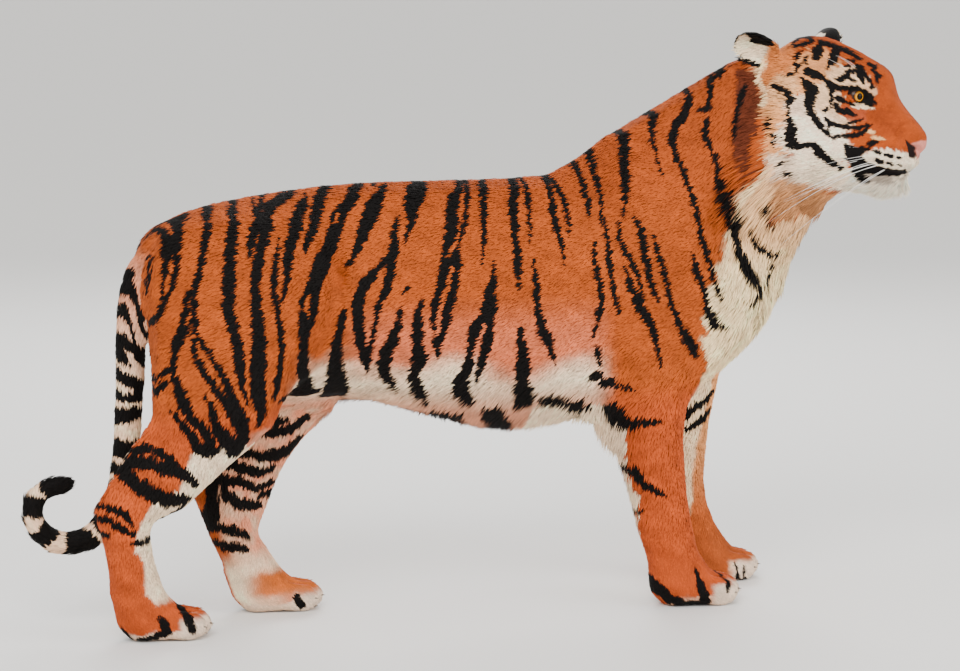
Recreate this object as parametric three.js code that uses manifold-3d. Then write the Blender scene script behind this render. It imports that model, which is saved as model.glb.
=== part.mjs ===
// A life-size Bengal tiger, standing, with its head turned a little to its right.
// Millimetres, +Z up, facing +X; the animal's right side is -Y.
// Every solid follows one flesh surface: bones wrapped in flesh, melted into each other.
import * as THREE from 'three';
import { mergeVertices } from 'three/addons/utils/BufferGeometryUtils.js';
import Module from 'manifold-3d';

const wasm = await Module();
wasm.setup();

// ---- driving dimensions -------------------------------------------------------------

const GAP = 0.3;
const BIG = 3000;
const SOLE_HEIGHT = 0;
const RIGHT = -1;
const LEFT = 1;

// head: its own frame has X forward, Y left, Z up, and its origin between the ear roots
const HEAD_PLACE = new THREE.Vector3(716, -68, 1086);
const HEAD_PITCH = THREE.MathUtils.degToRad(9.5);
const HEAD_YAW = THREE.MathUtils.degToRad(-33);
const EYE_PLACE = new THREE.Vector3(114, 64, 34);
const EYE_RADIUS = 20;
const EAR_HEIGHT = 110;
const EAR_WIDTH = 92;
const EAR_DEPTH = 62;
const CLAW = { radius: 6.5, length: 30, droop: THREE.MathUtils.degToRad(125) };

// trunk: back line, belly line and half width at stations along the spine
const TRUNK = [
  { x: -735, top: 775, bottom: 660, half: 45 },
  { x: -700, top: 838, bottom: 610, half: 90 },
  { x: -620, top: 884, bottom: 540, half: 132 },
  { x: -450, top: 915, bottom: 470, half: 152 },
  { x: -290, top: 930, bottom: 474, half: 158 },
  { x: -110, top: 932, bottom: 428, half: 183 },
  { x: 45, top: 932, bottom: 388, half: 200 },
  { x: 180, top: 940, bottom: 398, half: 204 },
  { x: 320, top: 965, bottom: 425, half: 196 },
  { x: 460, top: 950, bottom: 462, half: 178 },
  { x: 580, top: 860, bottom: 540, half: 140 },
  { x: 665, top: 745, bottom: 640, half: 60 },
];

const vector = (x, y, z) => new THREE.Vector3(x, y, z);

// ---- flesh: signed distances, melted together -----------------------------------------

// a bone with flesh round it: a cone with round ends
function bone(from, to, fromRadius, toRadius, blend) {
  const along = to.clone().sub(from);
  const lengthSquared = along.lengthSq();
  const offset = new THREE.Vector3();
  const distance = (point) => {
    offset.copy(point).sub(from);
    const share = THREE.MathUtils.clamp(offset.dot(along) / lengthSquared, 0, 1);
    const radius = THREE.MathUtils.lerp(fromRadius, toRadius, share);
    return offset.addScaledVector(along, -share).length() - radius;
  };
  return { distance, blend };
}

// a muscle or pad: an ellipsoid, turned about the Y axis by pitch
function bulge(centre, radii, blend, pitch = 0) {
  const cos = Math.cos(pitch);
  const sin = Math.sin(pitch);
  const distance = (point) => {
    const dx = point.x - centre.x;
    const dz = point.z - centre.z;
    const x = dx * cos - dz * sin;
    const y = point.y - centre.y;
    const z = dx * sin + dz * cos;
    const level = Math.hypot(x / radii.x, y / radii.y, z / radii.z);
    const slope = Math.hypot(x / radii.x ** 2, y / radii.y ** 2, z / radii.z ** 2);
    return slope > 0 ? level * (level - 1) / slope : -Math.min(radii.x, radii.y, radii.z);
  };
  return { distance, blend };
}

// a hollow pressed into the flesh so far
function hollow(centre, radii, blend, pitch = 0) {
  return { ...bulge(centre, radii, blend, pitch), hollow: true };
}

// the same flesh in a frame of its own, such as the head's
function inFrame(flesh, matrix) {
  const inverse = matrix.clone().invert();
  const local = new THREE.Vector3();
  return flesh.map((piece) => ({
    ...piece,
    distance: (point) => piece.distance(local.copy(point).applyMatrix4(inverse)),
  }));
}

function smoothUnion(first, second, blend) {
  const share = THREE.MathUtils.clamp(0.5 + (first - second) / (2 * blend), 0, 1);
  return THREE.MathUtils.lerp(first, second, share) - blend * share * (1 - share);
}

function surfaceLevel(flesh, point) {
  let level = flesh[0].distance(point);
  for (const piece of flesh.slice(1)) {
    const distance = piece.distance(point);
    level = piece.hollow
      ? -smoothUnion(-level, distance, piece.blend)
      : smoothUnion(level, distance, piece.blend);
  }
  return level;
}

// ---- meshes: a capsule bent along a spine and swollen out to the flesh surface --------------

function distanceToSurface(flesh, start, direction, reach) {
  const point = new THREE.Vector3();
  const levelAt = (run) => surfaceLevel(flesh, point.copy(start).addScaledVector(direction, run));
  let inside = 0;
  let outside = reach;
  let run = 0;
  while (run < reach) {
    const level = levelAt(run);
    if (level > 0) {
      outside = run;
      break;
    }
    inside = run;
    run += Math.max(-level * 0.6, 1.5);
  }
  if (run >= reach) {
    return reach;
  }
  for (let step = 0; step < 16; step += 1) {
    const middle = (inside + outside) / 2;
    if (levelAt(middle) > 0) {
      outside = middle;
    } else {
      inside = middle;
    }
  }
  return Math.max(outside, 0.5);
}

function swollenCapsule(flesh, spinePoints, { around, rings, caps, reach }) {
  const spine = new THREE.CatmullRomCurve3(spinePoints, false, 'centripetal');
  const capsule = new THREE.CapsuleGeometry(1, rings, caps, around, rings);
  capsule.deleteAttribute('uv');
  const position = capsule.getAttribute('position');
  const normal = capsule.getAttribute('normal');
  const point = new THREE.Vector3();
  const push = new THREE.Vector3();
  for (let index = 0; index < position.count; index += 1) {
    const height = THREE.MathUtils.clamp(position.getY(index), -rings / 2, rings / 2);
    const share = height / rings + 0.5;
    const along = spine.getTangentAt(share);
    const side = vector(0, 1, 0).addScaledVector(along, -along.y).normalize();
    const up = new THREE.Vector3().crossVectors(along, side);
    push.set(0, 0, 0);
    push.addScaledVector(side, normal.getX(index));
    push.addScaledVector(along, normal.getY(index));
    push.addScaledVector(up, -normal.getZ(index));
    push.normalize();
    spine.getPointAt(share, point);
    const run = distanceToSurface(flesh, point, push, reach);
    point.addScaledVector(push, run);
    position.setXYZ(index, point.x, point.y, point.z);
  }
  capsule.deleteAttribute('normal');
  return toSolid(capsule);
}

// ---- solids: join and cut -----------------------------------------------------------------

function toSolid(geometry) {
  const bare = geometry.clone();
  for (const name of Object.keys(bare.attributes)) {
    if (name !== 'position') {
      bare.deleteAttribute(name);
    }
  }
  const merged = mergeVertices(bare, 1e-3);
  const corners = merged.index.array;
  const triVerts = [];
  for (let index = 0; index < corners.length; index += 3) {
    const [a, b, c] = corners.slice(index, index + 3);
    if (a !== b && b !== c && c !== a) {
      triVerts.push(a, b, c);
    }
  }
  return new wasm.Manifold(new wasm.Mesh({
    numProp: 3,
    vertProperties: merged.getAttribute('position').array,
    triVerts: new Uint32Array(triVerts),
  }));
}

// the largest body of a cut solid, without the loose slivers that a cut may leave
function mainBody(solid) {
  return solid.decompose().reduce((best, body) => (body.volume() > best.volume() ? body : best));
}

function toGeometry(solid) {
  const mesh = solid.getMesh();
  const geometry = new THREE.BufferGeometry();
  const corners = new Float32Array(mesh.numVert * 3);
  for (let index = 0; index < mesh.numVert; index += 1) {
    for (let axis = 0; axis < 3; axis += 1) {
      corners[index * 3 + axis] = mesh.vertProperties[index * mesh.numProp + axis];
    }
  }
  geometry.setAttribute('position', new THREE.BufferAttribute(corners, 3));
  geometry.setIndex(new THREE.BufferAttribute(new Uint32Array(mesh.triVerts), 1));
  return geometry;
}

// everything ahead of a plane that stands at a point and faces along a direction
function halfSpace(point, direction, shift = 0) {
  const box = new THREE.BoxGeometry(BIG, BIG, BIG);
  box.translate(0, 0, BIG / 2 + shift);
  const turn = new THREE.Quaternion().setFromUnitVectors(
    vector(0, 0, 1), direction.clone().normalize());
  box.applyQuaternion(turn);
  box.translate(point.x, point.y, point.z);
  return toSolid(box);
}

// the two parts of a solid on either side of a plane, half a gap clear of it each
function partByPlane(solid, point, direction) {
  const ahead = solid.intersect(halfSpace(point, direction, GAP / 2));
  const behind = solid.subtract(halfSpace(point, direction, -GAP / 2));
  return [ahead, behind];
}

// ---- head flesh, in the head's frame ---------------------------------------------------------

const mirrored = (make) => [make(LEFT), make(RIGHT)];

const headFlesh = [
  // braincase and forehead
  bulge(vector(0, 0, 22), vector(110, 104, 98), 20),
  bulge(vector(88, 0, 50), vector(78, 92, 77), 38),
  bulge(vector(14, 0, 62), vector(96, 78, 84), 30),
  bulge(vector(139, 0, 64), vector(52, 56, 46), 16),
  // the skull's middle, inside all the rest
  bone(vector(0, 0, -20), vector(200, 0, -60), 70, 48, 10),
  // the broad bridge of the nose
  ...mirrored((side) => bone(vector(121, side * 22, 44), vector(223, side * 15, -29), 48, 35, 24)),
  bone(vector(211, 0, -31), vector(252, 0, -44), 39, 33, 14),
  // cheekbones, and the cheeks ahead of them
  ...mirrored((side) => bone(vector(88, side * 82, -24), vector(-20, side * 106, -28), 42, 52, 28)),
  ...mirrored((side) => bone(vector(170, side * 42, -58), vector(70, side * 76, -72), 48, 54, 28)),
  // brow ridges over the eyes
  ...mirrored((side) => bone(vector(128, side * 46, 73), vector(80, side * 71, 72), 20, 24, 20)),
  // upper lips and whisker pads
  ...mirrored((side) => bulge(vector(207, side * 38, -78), vector(62, 44, 42), 14, 0.12)),
  // chin and lower jaw
  bulge(vector(208, 0, -132), vector(48, 44, 38), 14),
  ...mirrored((side) => bone(vector(200, side * 14, -130), vector(90, side * 40, -130), 33, 52, 16)),
  // chewing muscles
  ...mirrored((side) => bulge(vector(22, side * 74, -88), vector(92, 64, 82), 30)),
  // fur under the jaw, down to the throat
  bone(vector(95, 0, -122), vector(-40, 0, -165), 48, 84, 26),
  // cheek ruffs
  ...mirrored((side) => bulge(vector(-36, side * 96, -98), vector(68, 68, 130), 34, -0.15)),
  // eye sockets
  ...mirrored((side) => hollow(vector(150, side * 87, 36), vector(35, 29, 25), 10)),
];

const headMatrix = new THREE.Matrix4()
  .makeTranslation(HEAD_PLACE)
  .multiply(new THREE.Matrix4().makeRotationZ(HEAD_YAW))
  .multiply(new THREE.Matrix4().makeRotationY(HEAD_PITCH));
const placedHeadFlesh = inFrame(headFlesh, headMatrix);
const headPoint = (x, y, z) => vector(x, y, z).applyMatrix4(headMatrix);

// ---- neck flesh -------------------------------------------------------------------------------

const neckFlesh = [
  bone(vector(420, 0, 800), vector(640, -40, 1010), 205, 128, 60),
  // crest from the withers to the back of the skull
  bone(vector(292, 0, 936), vector(590, -30, 1108), 76, 74, 40),
  // throat
  bone(vector(560, -5, 700), vector(690, -60, 930), 110, 92, 50),
  // from the cheeks back into the neck
  ...mirrored((side) => bone(vector(520, side * 62, 900), headPoint(-34, side * 74, -66), 108, 86, 40)),
];

// ---- trunk flesh ------------------------------------------------------------------------------

function trunkBarrel(stations) {
  const last = stations.length - 1;
  // smooth value of one measure at x, through the stations
  const measure = (key, x) => {
    let index = stations.findIndex((station) => station.x > x);
    if (index < 0) {
      index = last;
    }
    const near = stations[Math.max(index - 1, 0)];
    const far = stations[Math.max(index, 1)];
    const before = stations[Math.max(index - 2, 0)];
    const after = stations[Math.min(index + 1, last)];
    const step = far.x - near.x;
    const share = THREE.MathUtils.clamp((x - near.x) / step, 0, 1);
    const leave = step * (far[key] - before[key]) / Math.max(far.x - before.x, 1);
    const arrive = step * (after[key] - near[key]) / Math.max(after.x - near.x, 1);
    const squared = share * share;
    const cubed = squared * share;
    return (2 * cubed - 3 * squared + 1) * near[key] + (cubed - 2 * squared + share) * leave
      + (3 * squared - 2 * cubed) * far[key] + (cubed - squared) * arrive;
  };
  const distance = (point) => {
    const x = THREE.MathUtils.clamp(point.x, stations[0].x, stations[last].x);
    const top = measure('top', x);
    const bottom = measure('bottom', x);
    const halfHeight = (top - bottom) / 2;
    const up = (point.z - (top + bottom) / 2) / halfHeight;
    // the back is narrower than the belly
    const half = measure('half', x) * (1 - 0.16 * THREE.MathUtils.clamp(up, -0.3, 1));
    const across = point.y / half;
    const radial = (Math.hypot(up, across) - 1) * Math.min(half, halfHeight);
    const past = Math.abs(point.x - x);
    return past > 0 ? Math.hypot(Math.max(radial, 0), past) + Math.min(radial, 0) : radial;
  };
  return { distance, blend: 30 };
}

const trunkFlesh = [trunkBarrel(TRUNK)];

// ---- legs: joints, then the flesh between them ----------------------------------------------------

const FORELEGS = {
  right: {
    side: RIGHT,
    shoulder: vector(520, -130, 650),
    elbow: vector(314, -150, 462),
    wrist: vector(373, -128, 200),
    pastern: vector(407, -118, 82),
    toes: vector(465, -114, 46),
  },
  left: {
    side: LEFT,
    shoulder: vector(560, 125, 640),
    elbow: vector(500, 142, 455),
    wrist: vector(500, 118, 190),
    pastern: vector(543, 110, 82),
    toes: vector(600, 108, 46),
  },
};

const HINDLEGS = {
  right: {
    side: RIGHT,
    hip: vector(-500, -100, 780),
    knee: vector(-570, -155, 480),
    shank: vector(-698, -140, 345),
    hock: vector(-802, -125, 274),
    pastern: vector(-772, -103, 80),
    toes: vector(-701, -100, 44),
  },
  left: {
    side: LEFT,
    hip: vector(-470, 100, 780),
    knee: vector(-372, 148, 465),
    shank: vector(-474, 124, 330),
    hock: vector(-553, 106, 236),
    pastern: vector(-486, 92, 80),
    toes: vector(-417, 88, 44),
  },
};

// shifts a joint along X, outwards from the midline, and up
const beside = (joint, side, forward, outward, up) =>
  vector(joint.x + forward, joint.y + side * outward, joint.z + up);

function upperForelegFlesh({ side, shoulder, elbow }) {
  const withers = vector(300, side * 80, 905);
  return [
    // shoulder blade, upper arm and the big muscle behind them
    bone(withers, beside(shoulder, side, -20, -12, 20), 62, 86, 60),
    bone(shoulder, beside(elbow, side, 20, 0, 20), 86, 78, 50),
    bone(vector(350, side * 118, 770), beside(elbow, side, -22, 0, 30), 84, 60, 50),
  ];
}

function lowerForelegFlesh({ side, elbow, wrist, pastern }) {
  return [
    bone(beside(elbow, side, 8, 0, -10), wrist, 84, 57, 40),
    bone(beside(elbow, side, -45, 0, 20), beside(wrist, side, -14, 0, 60), 36, 36, 30),
    bone(wrist, pastern, 57, 56, 30),
  ];
}

function upperHindlegFlesh({ side, hip, knee }) {
  const sitBone = vector(-655, side * 78, 760);
  return [
    // front, outside and back of the thigh
    bone(beside(hip, side, 55, 2, -30), beside(knee, side, 26, 0, 36), 110, 78, 80),
    bone(beside(hip, side, -60, 4, -20), beside(knee, side, -40, 0, 30), 110, 86, 60),
    bone(sitBone, beside(knee, side, -112, -14, -10), 84, 64, 60),
  ];
}

function lowerHindlegFlesh({ side, knee, shank, hock, pastern }) {
  return [
    bone(beside(knee, side, 0, 0, -4), shank, 82, 64, 40),
    bone(shank, hock, 62, 52, 30),
    // heel bone and the tendon to it
    bone(beside(hock, side, -34, 0, 22), beside(shank, side, -60, 0, 60), 26, 34, 30),
    bone(hock, pastern, 53, 51, 30),
  ];
}

const FOREPAW = { width: 142, length: 182 };
const HINDPAW = { width: 124, length: 176 };

// four toes side by side, with the two middle ones ahead
function toeCentres({ toes }, { width, length }) {
  return [-1.5, -0.5, 0.5, 1.5].map((place) => {
    const back = Math.abs(place) > 1 ? length * 0.12 : 0;
    return vector(toes.x + length * 0.22 - back, toes.y + place * width * 0.235, 27);
  });
}

function pawFlesh(leg, size) {
  const { toes, pastern } = leg;
  const { width, length } = size;
  return [
    bone(pastern, vector(toes.x - length * 0.1, toes.y, 44), 55, width * 0.37, 24),
    bulge(vector(toes.x - length * 0.28, toes.y, 28), vector(length * 0.36, width * 0.41, 38), 20),
    ...toeCentres(leg, size).map((centre) =>
      bulge(centre, vector(length * 0.23, width * 0.155, 33), 8, 0.2)),
  ];
}

const legFlesh = [
  ...Object.values(FORELEGS).flatMap(upperForelegFlesh),
  ...Object.values(HINDLEGS).flatMap(upperHindlegFlesh),
];
const bodyFlesh = [...trunkFlesh, ...neckFlesh, ...legFlesh];

// ---- tail flesh ---------------------------------------------------------------------------------

const TAIL_POINTS = [
  vector(-684, 0, 806), vector(-734, 2, 738), vector(-753, 4, 640), vector(-760, 6, 510),
  vector(-770, 8, 380), vector(-796, 10, 262), vector(-850, 12, 196), vector(-920, 12, 192),
  vector(-966, 10, 240), vector(-958, 8, 300), vector(-900, 6, 314),
];
const TAIL_RADII = { root: 43, middle: 33, tip: 24 };

// ---- the meshes, parted into nodes --------------------------------------------------------------------

const tiger = new THREE.Group();

const ORANGE = '#bd6634';
const CREAM = '#dcc6ae';
const RUSSET = '#b85f3a';
const PINK = '#d9988c';
const AMBER = '#d7971d';
const BLACK = '#241d1a';
const HORN = '#4a413a';
const COAT_ROUGHNESS = 0.85;

function addNode(name, solid, colour, pivot, roughness = COAT_ROUGHNESS) {
  const geometry = toGeometry(mainBody(solid)).translate(-pivot.x, -pivot.y, -pivot.z);
  geometry.computeVertexNormals();
  const material = new THREE.MeshStandardMaterial({ color: colour, roughness, metalness: 0 });
  const mesh = new THREE.Mesh(geometry, material);
  mesh.name = name;
  mesh.position.copy(pivot);
  tiger.add(mesh);
}

const forward = vector(1, 0, 0);
const upward = vector(0, 0, 1);
const downward = vector(0, 0, -1);

// trunk and neck
const trunkSpine = [
  vector(-600, 0, 740), vector(-350, 0, 705), vector(100, 0, 690), vector(470, 0, 720),
];
const neckSpine = [vector(400, 0, 760), vector(520, -12, 890), vector(680, -62, 1030)];
const neckCut = { point: vector(470, 0, 830), direction: vector(0.75, 0, 0.66) };
const napeCut = { point: vector(-98, 0, 100), direction: vector(0.875, 0, 0.484) };

let trunk = swollenCapsule(bodyFlesh, trunkSpine, { around: 24, rings: 14, caps: 4, reach: 420 });
trunk = trunk.subtract(halfSpace(neckCut.point, neckCut.direction, -GAP / 2));
let neck = swollenCapsule([...bodyFlesh, ...placedHeadFlesh], neckSpine,
  { around: 22, rings: 9, caps: 3, reach: 330 });
neck = neck.intersect(halfSpace(neckCut.point, neckCut.direction, GAP / 2));
const turnedFromHead = (direction) => direction.clone().transformDirection(headMatrix);
neck = neck.subtract(halfSpace(
  napeCut.point.clone().applyMatrix4(headMatrix), turnedFromHead(napeCut.direction), -GAP / 2));

// head, in its own frame
const neckInHeadFrame = inFrame(neckFlesh, headMatrix.clone().invert());
const headSpine = [vector(-60, 0, 0), vector(60, 0, -15), vector(205, 0, -62)];
let head = swollenCapsule([...headFlesh.slice(0, -2), ...neckInHeadFrame, ...headFlesh.slice(-2)],
  headSpine, { around: 28, rings: 15, caps: 4, reach: 300 });
head = head.intersect(halfSpace(napeCut.point, napeCut.direction, GAP / 2));
const place = (solid) => toSolid(toGeometry(solid).applyMatrix4(headMatrix));

// the part of a solid that lies in every one of some half spaces, and the rest of it
function partByWedge(solid, planes) {
  const wedge = (shift) => planes
    .map(({ point, direction }) => halfSpace(point, direction, shift))
    .reduce((first, second) => first.intersect(second));
  return [solid.intersect(wedge(GAP / 2)), solid.subtract(wedge(-GAP / 2))];
}

let jaw;
[jaw, head] = partByWedge(head, [
  { point: vector(200, 0, -110), direction: vector(-0.05, 0, -1) },
  { point: vector(110, 0, -110), direction: vector(1, 0, 0.35) },
]);
let nose;
[nose, head] = partByWedge(head, [
  { point: vector(261, 0, -34), direction: vector(0.9, 0, -0.4) },
  { point: vector(256, 0, -78), direction: upward },
  { point: vector(0, -31, 0), direction: vector(0, 1, 0) },
  { point: vector(0, 31, 0), direction: vector(0, -1, 0) },
]);
for (const [name, side] of [['right', RIGHT], ['left', LEFT]]) {
  const centre = vector(EYE_PLACE.x, side * EYE_PLACE.y, EYE_PLACE.z);
  const ball = (radius) => toSolid(new THREE.SphereGeometry(radius, 10, 7)
    .translate(centre.x, centre.y, centre.z));
  head = head.subtract(ball(EYE_RADIUS + GAP));
  addNode(`eye_${name}`, place(ball(EYE_RADIUS)), AMBER, headPoint(centre.x, centre.y, centre.z), 0.1);
}

// ears: a deep cup each, its tip along one direction and its hollow facing another
const EARS = {
  right: { root: vector(-68, -80, 88), tip: vector(-0.9, -0.32, 0.25), facing: vector(0.15, -0.8, -0.55) },
  left: { root: vector(10, 74, 90), tip: vector(-0.1, 0.75, 0.62), facing: vector(0.5, 0.7, -0.5) },
};
for (const [name, { root, tip, facing }] of Object.entries(EARS)) {
  const up = tip.clone().normalize();
  const front = facing.clone().addScaledVector(up, -facing.dot(up)).normalize();
  const across = new THREE.Vector3().crossVectors(up, front);
  const matrix = new THREE.Matrix4().makeBasis(front, across, up).setPosition(root);
  const shell = (thinner, high, ahead, grow) => toSolid(new THREE.SphereGeometry(1, 10, 7)
    .rotateX(Math.PI / 2)
    .scale(EAR_DEPTH / 2 + grow, EAR_WIDTH / 2 - thinner + grow, EAR_HEIGHT * high + grow)
    .translate(ahead, 0, EAR_HEIGHT * 0.38)
    .applyMatrix4(matrix));
  const socket = shell(0, 0.56, 0, GAP);
  head = head.subtract(socket);
  neck = neck.subtract(place(socket));
  const ear = shell(0, 0.56, 0, 0).subtract(shell(9, 0.49, EAR_DEPTH * 0.3, 0));
  addNode(`ear_${name}`, place(ear), BLACK, headPoint(root.x, root.y, root.z));
}
addNode('head', place(head), ORANGE, HEAD_PLACE);
addNode('lower_jaw', place(jaw), CREAM, headPoint(150, 0, -110));
addNode('nose', place(nose), PINK, headPoint(256, 0, -60), 0.5);
addNode('neck', neck, ORANGE, neckCut.point);

// legs: the upper part of each is cut out of the trunk along a slanting plane
function armpitPlanes({ side, shoulder, elbow }) {
  return [
    { point: vector(0, side * 48, 470), direction: vector(0, side * 0.79, -0.61) },
    { point: vector(elbow.x - 92, 0, 600), direction: vector(1, 0, 0.1) },
    { point: vector(shoulder.x + 70, 0, 600), direction: vector(-1, 0, 0) },
  ];
}

function groinPlanes({ side, hip, knee }) {
  return [
    { point: vector(0, side * 34, 470), direction: vector(0, side * 0.93, -0.36) },
    { point: vector((hip.x + knee.x) / 2 + 150, 0, 560), direction: vector(-0.96, 0, 0.28) },
  ];
}

function addLeg(name, solid, cuts, names, colours, pivots) {
  let rest = solid;
  names.forEach((part, index) => {
    let piece = rest;
    if (index < cuts.length) {
      [piece, rest] = partByPlane(rest, cuts[index].point, cuts[index].direction);
    }
    addNode(`${name}_${part}`, piece, colours[index], pivots[index]);
  });
}

// a box with its vertices pushed out of its middle to the flesh surface
function swollenBox(flesh, centre, size, segments, reach) {
  const box = new THREE.BoxGeometry(size.x, size.y, size.z, ...segments);
  const position = box.getAttribute('position');
  const start = new THREE.Vector3();
  const push = new THREE.Vector3();
  for (let index = 0; index < position.count; index += 1) {
    push.fromBufferAttribute(position, index);
    start.copy(push).multiply(vector(0.72, 0.86, 0.2)).add(centre);
    push.add(centre).sub(start).normalize();
    const run = distanceToSurface(flesh, start, push, reach);
    start.addScaledVector(push, run);
    position.setXYZ(index, start.x, start.y, start.z);
  }
  return toSolid(box);
}

function addPaw(name, leg, flesh, size, pawTop) {
  const { toes } = leg;
  const { width, length } = size;
  let paw = swollenBox(flesh, vector(toes.x - length * 0.04, toes.y, 30),
    vector(length * 0.86, width * 0.84, 60), [6, 8, 2], 130);
  paw = paw.intersect(halfSpace(vector(0, 0, SOLE_HEIGHT), upward));
  paw = paw.subtract(halfSpace(pawTop.point, pawTop.direction, -GAP / 2));
  toeCentres(leg, size).forEach((centre, index) => {
    const claw = (grow) => toSolid(new THREE.ConeGeometry(CLAW.radius + grow, CLAW.length + 3 * grow, 6)
      .rotateZ(-CLAW.droop)
      .translate(centre.x + length * 0.208, centre.y, centre.z + 2));
    paw = paw.subtract(claw(GAP));
    addNode(`claw_${name}_${index + 1}`, claw(0), HORN, centre, 0.4);
  });
  addNode(`${name}paw`, paw, CREAM, toes);
}

for (const [name, leg] of Object.entries(FORELEGS)) {
  const { side, elbow, wrist, pastern } = leg;
  const lowerFlesh = [...lowerForelegFlesh(leg), ...pawFlesh(leg, FOREPAW)];
  const column = swollenCapsule([...bodyFlesh, ...lowerFlesh], [
    beside(elbow, side, 70, -40, 240), beside(elbow, side, 22, 0, 10), wrist,
    vector(pastern.x + 5, pastern.y, 40),
  ], { around: 12, rings: 10, caps: 2, reach: 260 });
  const planes = armpitPlanes(leg);
  const [limbAndThroat] = partByWedge(column, planes);
  const limb = limbAndThroat.subtract(halfSpace(neckCut.point, neckCut.direction, -GAP / 2));
  [, trunk] = partByWedge(trunk, planes);
  const pawTop = { point: beside(pastern, side, 0, 0, 22), direction: vector(-0.2, 0, 1) };
  const [upright] = partByPlane(limb, pawTop.point, pawTop.direction);
  addLeg(`foreleg_${name}`, upright, [{ point: elbow, direction: vector(-0.1, 0, 1) }],
    ['upper', 'lower'], [ORANGE, ORANGE], [elbow, wrist]);
  addPaw(`${name}_fore`, leg, lowerFlesh, FOREPAW, pawTop);
}

for (const [name, leg] of Object.entries(HINDLEGS)) {
  const { side, hip, knee, shank, hock, pastern } = leg;
  const lowerFlesh = [...lowerHindlegFlesh(leg), ...pawFlesh(leg, HINDPAW)];
  const column = swollenCapsule([...bodyFlesh, ...lowerFlesh], [
    beside(hip, side, -30, 0, -20), beside(knee, side, -50, 0, 70), beside(shank, side, 8, 0, 22),
    beside(hock, side, -2, 0, -2), beside(pastern, side, -2, 0, 60), vector(pastern.x, pastern.y, 40),
  ], { around: 12, rings: 14, caps: 2, reach: 270 });
  const planes = groinPlanes(leg);
  const [limb] = partByWedge(column, planes);
  [, trunk] = partByWedge(trunk, planes);
  const pawTop = { point: beside(pastern, side, 0, 0, 18), direction: vector(-0.1, 0, 1) };
  const [upright] = partByPlane(limb, pawTop.point, pawTop.direction);
  addLeg(`hindleg_${name}`, upright, [
    { point: beside(knee, side, -60, 0, -40), direction: vector(0.5, 0, 1) },
    { point: beside(hock, side, 0, 0, 10), direction: vector(0.55, 0, 1) },
  ], ['thigh', 'shank', 'hock'], [ORANGE, ORANGE, RUSSET], [hip, knee, hock]);
  addPaw(`${name}_hind`, leg, lowerFlesh, HINDPAW, pawTop);
}

// tail: its root sits in a socket in the rump
const tailSpine = new THREE.CatmullRomCurve3(TAIL_POINTS, false, 'centripetal');
const tailJoints = tailSpine.getSpacedPoints(24);
function tailRadius(joint) {
  const { root, middle, tip } = TAIL_RADII;
  return joint < 8
    ? THREE.MathUtils.lerp(root, middle, joint / 8)
    : THREE.MathUtils.lerp(middle, tip, (joint - 8) / 16);
}
function tailSolid(grow) {
  const flesh = tailJoints.slice(1).map((to, index) =>
    bone(tailJoints[index], to, tailRadius(index) + grow, tailRadius(index + 1) + grow, 8));
  return swollenCapsule(flesh, TAIL_POINTS, { around: 8, rings: 24, caps: 2, reach: 60 });
}
trunk = trunk.subtract(tailSolid(GAP * 1.2));
let [tailBase, tailRest] = partByPlane(tailSolid(0), vector(0, 0, 575), upward);
let tailMiddle;
let tailLower;
[tailMiddle, tailRest] = partByPlane(tailRest, vector(0, 0, 375), upward);
[tailLower, tailRest] = partByPlane(tailRest, vector(-866, 0, 0), forward);
addNode('tail_base', tailBase, RUSSET, TAIL_POINTS[0]);
addNode('tail_middle', tailMiddle, CREAM, TAIL_POINTS[3]);
addNode('tail_lower', tailLower, CREAM, TAIL_POINTS[5]);
addNode('tail_tip', tailRest, BLACK, TAIL_POINTS[8]);

// trunk, parted at the loin and behind the ribs
const [chest, hindBody] = partByPlane(trunk, vector(60, 0, 0), forward);
const [belly, rump] = partByPlane(hindBody, vector(-300, 0, 0), forward);
addNode('chest', chest, ORANGE, vector(300, 0, 700));
addNode('belly', belly, ORANGE, vector(-120, 0, 680));
addNode('rump', rump, ORANGE, vector(-500, 0, 700));

// the origin is on the floor, under the middle of the tiger's box
const box = new THREE.Box3().setFromObject(tiger);
const middle = box.getCenter(new THREE.Vector3());
tiger.position.set(-middle.x, -middle.y, -box.min.z);

const group = new THREE.Group();
group.add(tiger);

export default group;
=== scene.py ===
import math
import bpy
import numpy as np
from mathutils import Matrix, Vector


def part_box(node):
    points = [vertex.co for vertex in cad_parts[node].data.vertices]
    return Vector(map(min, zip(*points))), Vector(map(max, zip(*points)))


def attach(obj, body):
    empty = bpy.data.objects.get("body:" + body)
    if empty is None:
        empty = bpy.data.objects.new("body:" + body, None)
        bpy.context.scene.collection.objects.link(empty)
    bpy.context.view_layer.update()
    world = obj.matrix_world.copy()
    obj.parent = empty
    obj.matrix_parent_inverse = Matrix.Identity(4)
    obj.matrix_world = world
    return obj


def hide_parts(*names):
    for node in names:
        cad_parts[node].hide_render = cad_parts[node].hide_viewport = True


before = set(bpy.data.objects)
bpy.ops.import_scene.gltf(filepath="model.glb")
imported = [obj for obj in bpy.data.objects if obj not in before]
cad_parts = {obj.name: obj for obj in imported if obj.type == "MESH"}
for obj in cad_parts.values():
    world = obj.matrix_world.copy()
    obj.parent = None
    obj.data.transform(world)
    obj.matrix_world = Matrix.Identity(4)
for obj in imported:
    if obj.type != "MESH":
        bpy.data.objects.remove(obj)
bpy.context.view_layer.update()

# ---------------------------------------------------------------- museum floor
# A plain pale floor that runs on far behind the model. It is painted board,
# laid flat, with a fine roller stipple.
FLOOR_WIDTH = 400.0
bpy.ops.mesh.primitive_plane_add(size=1.0, location=(0.0, 0.0, 0.0))
floor = bpy.context.object
floor.name = "floor"
floor.scale = (FLOOR_WIDTH, FLOOR_WIDTH, 1.0)
bpy.ops.object.transform_apply(location=True, rotation=True, scale=True)


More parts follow.
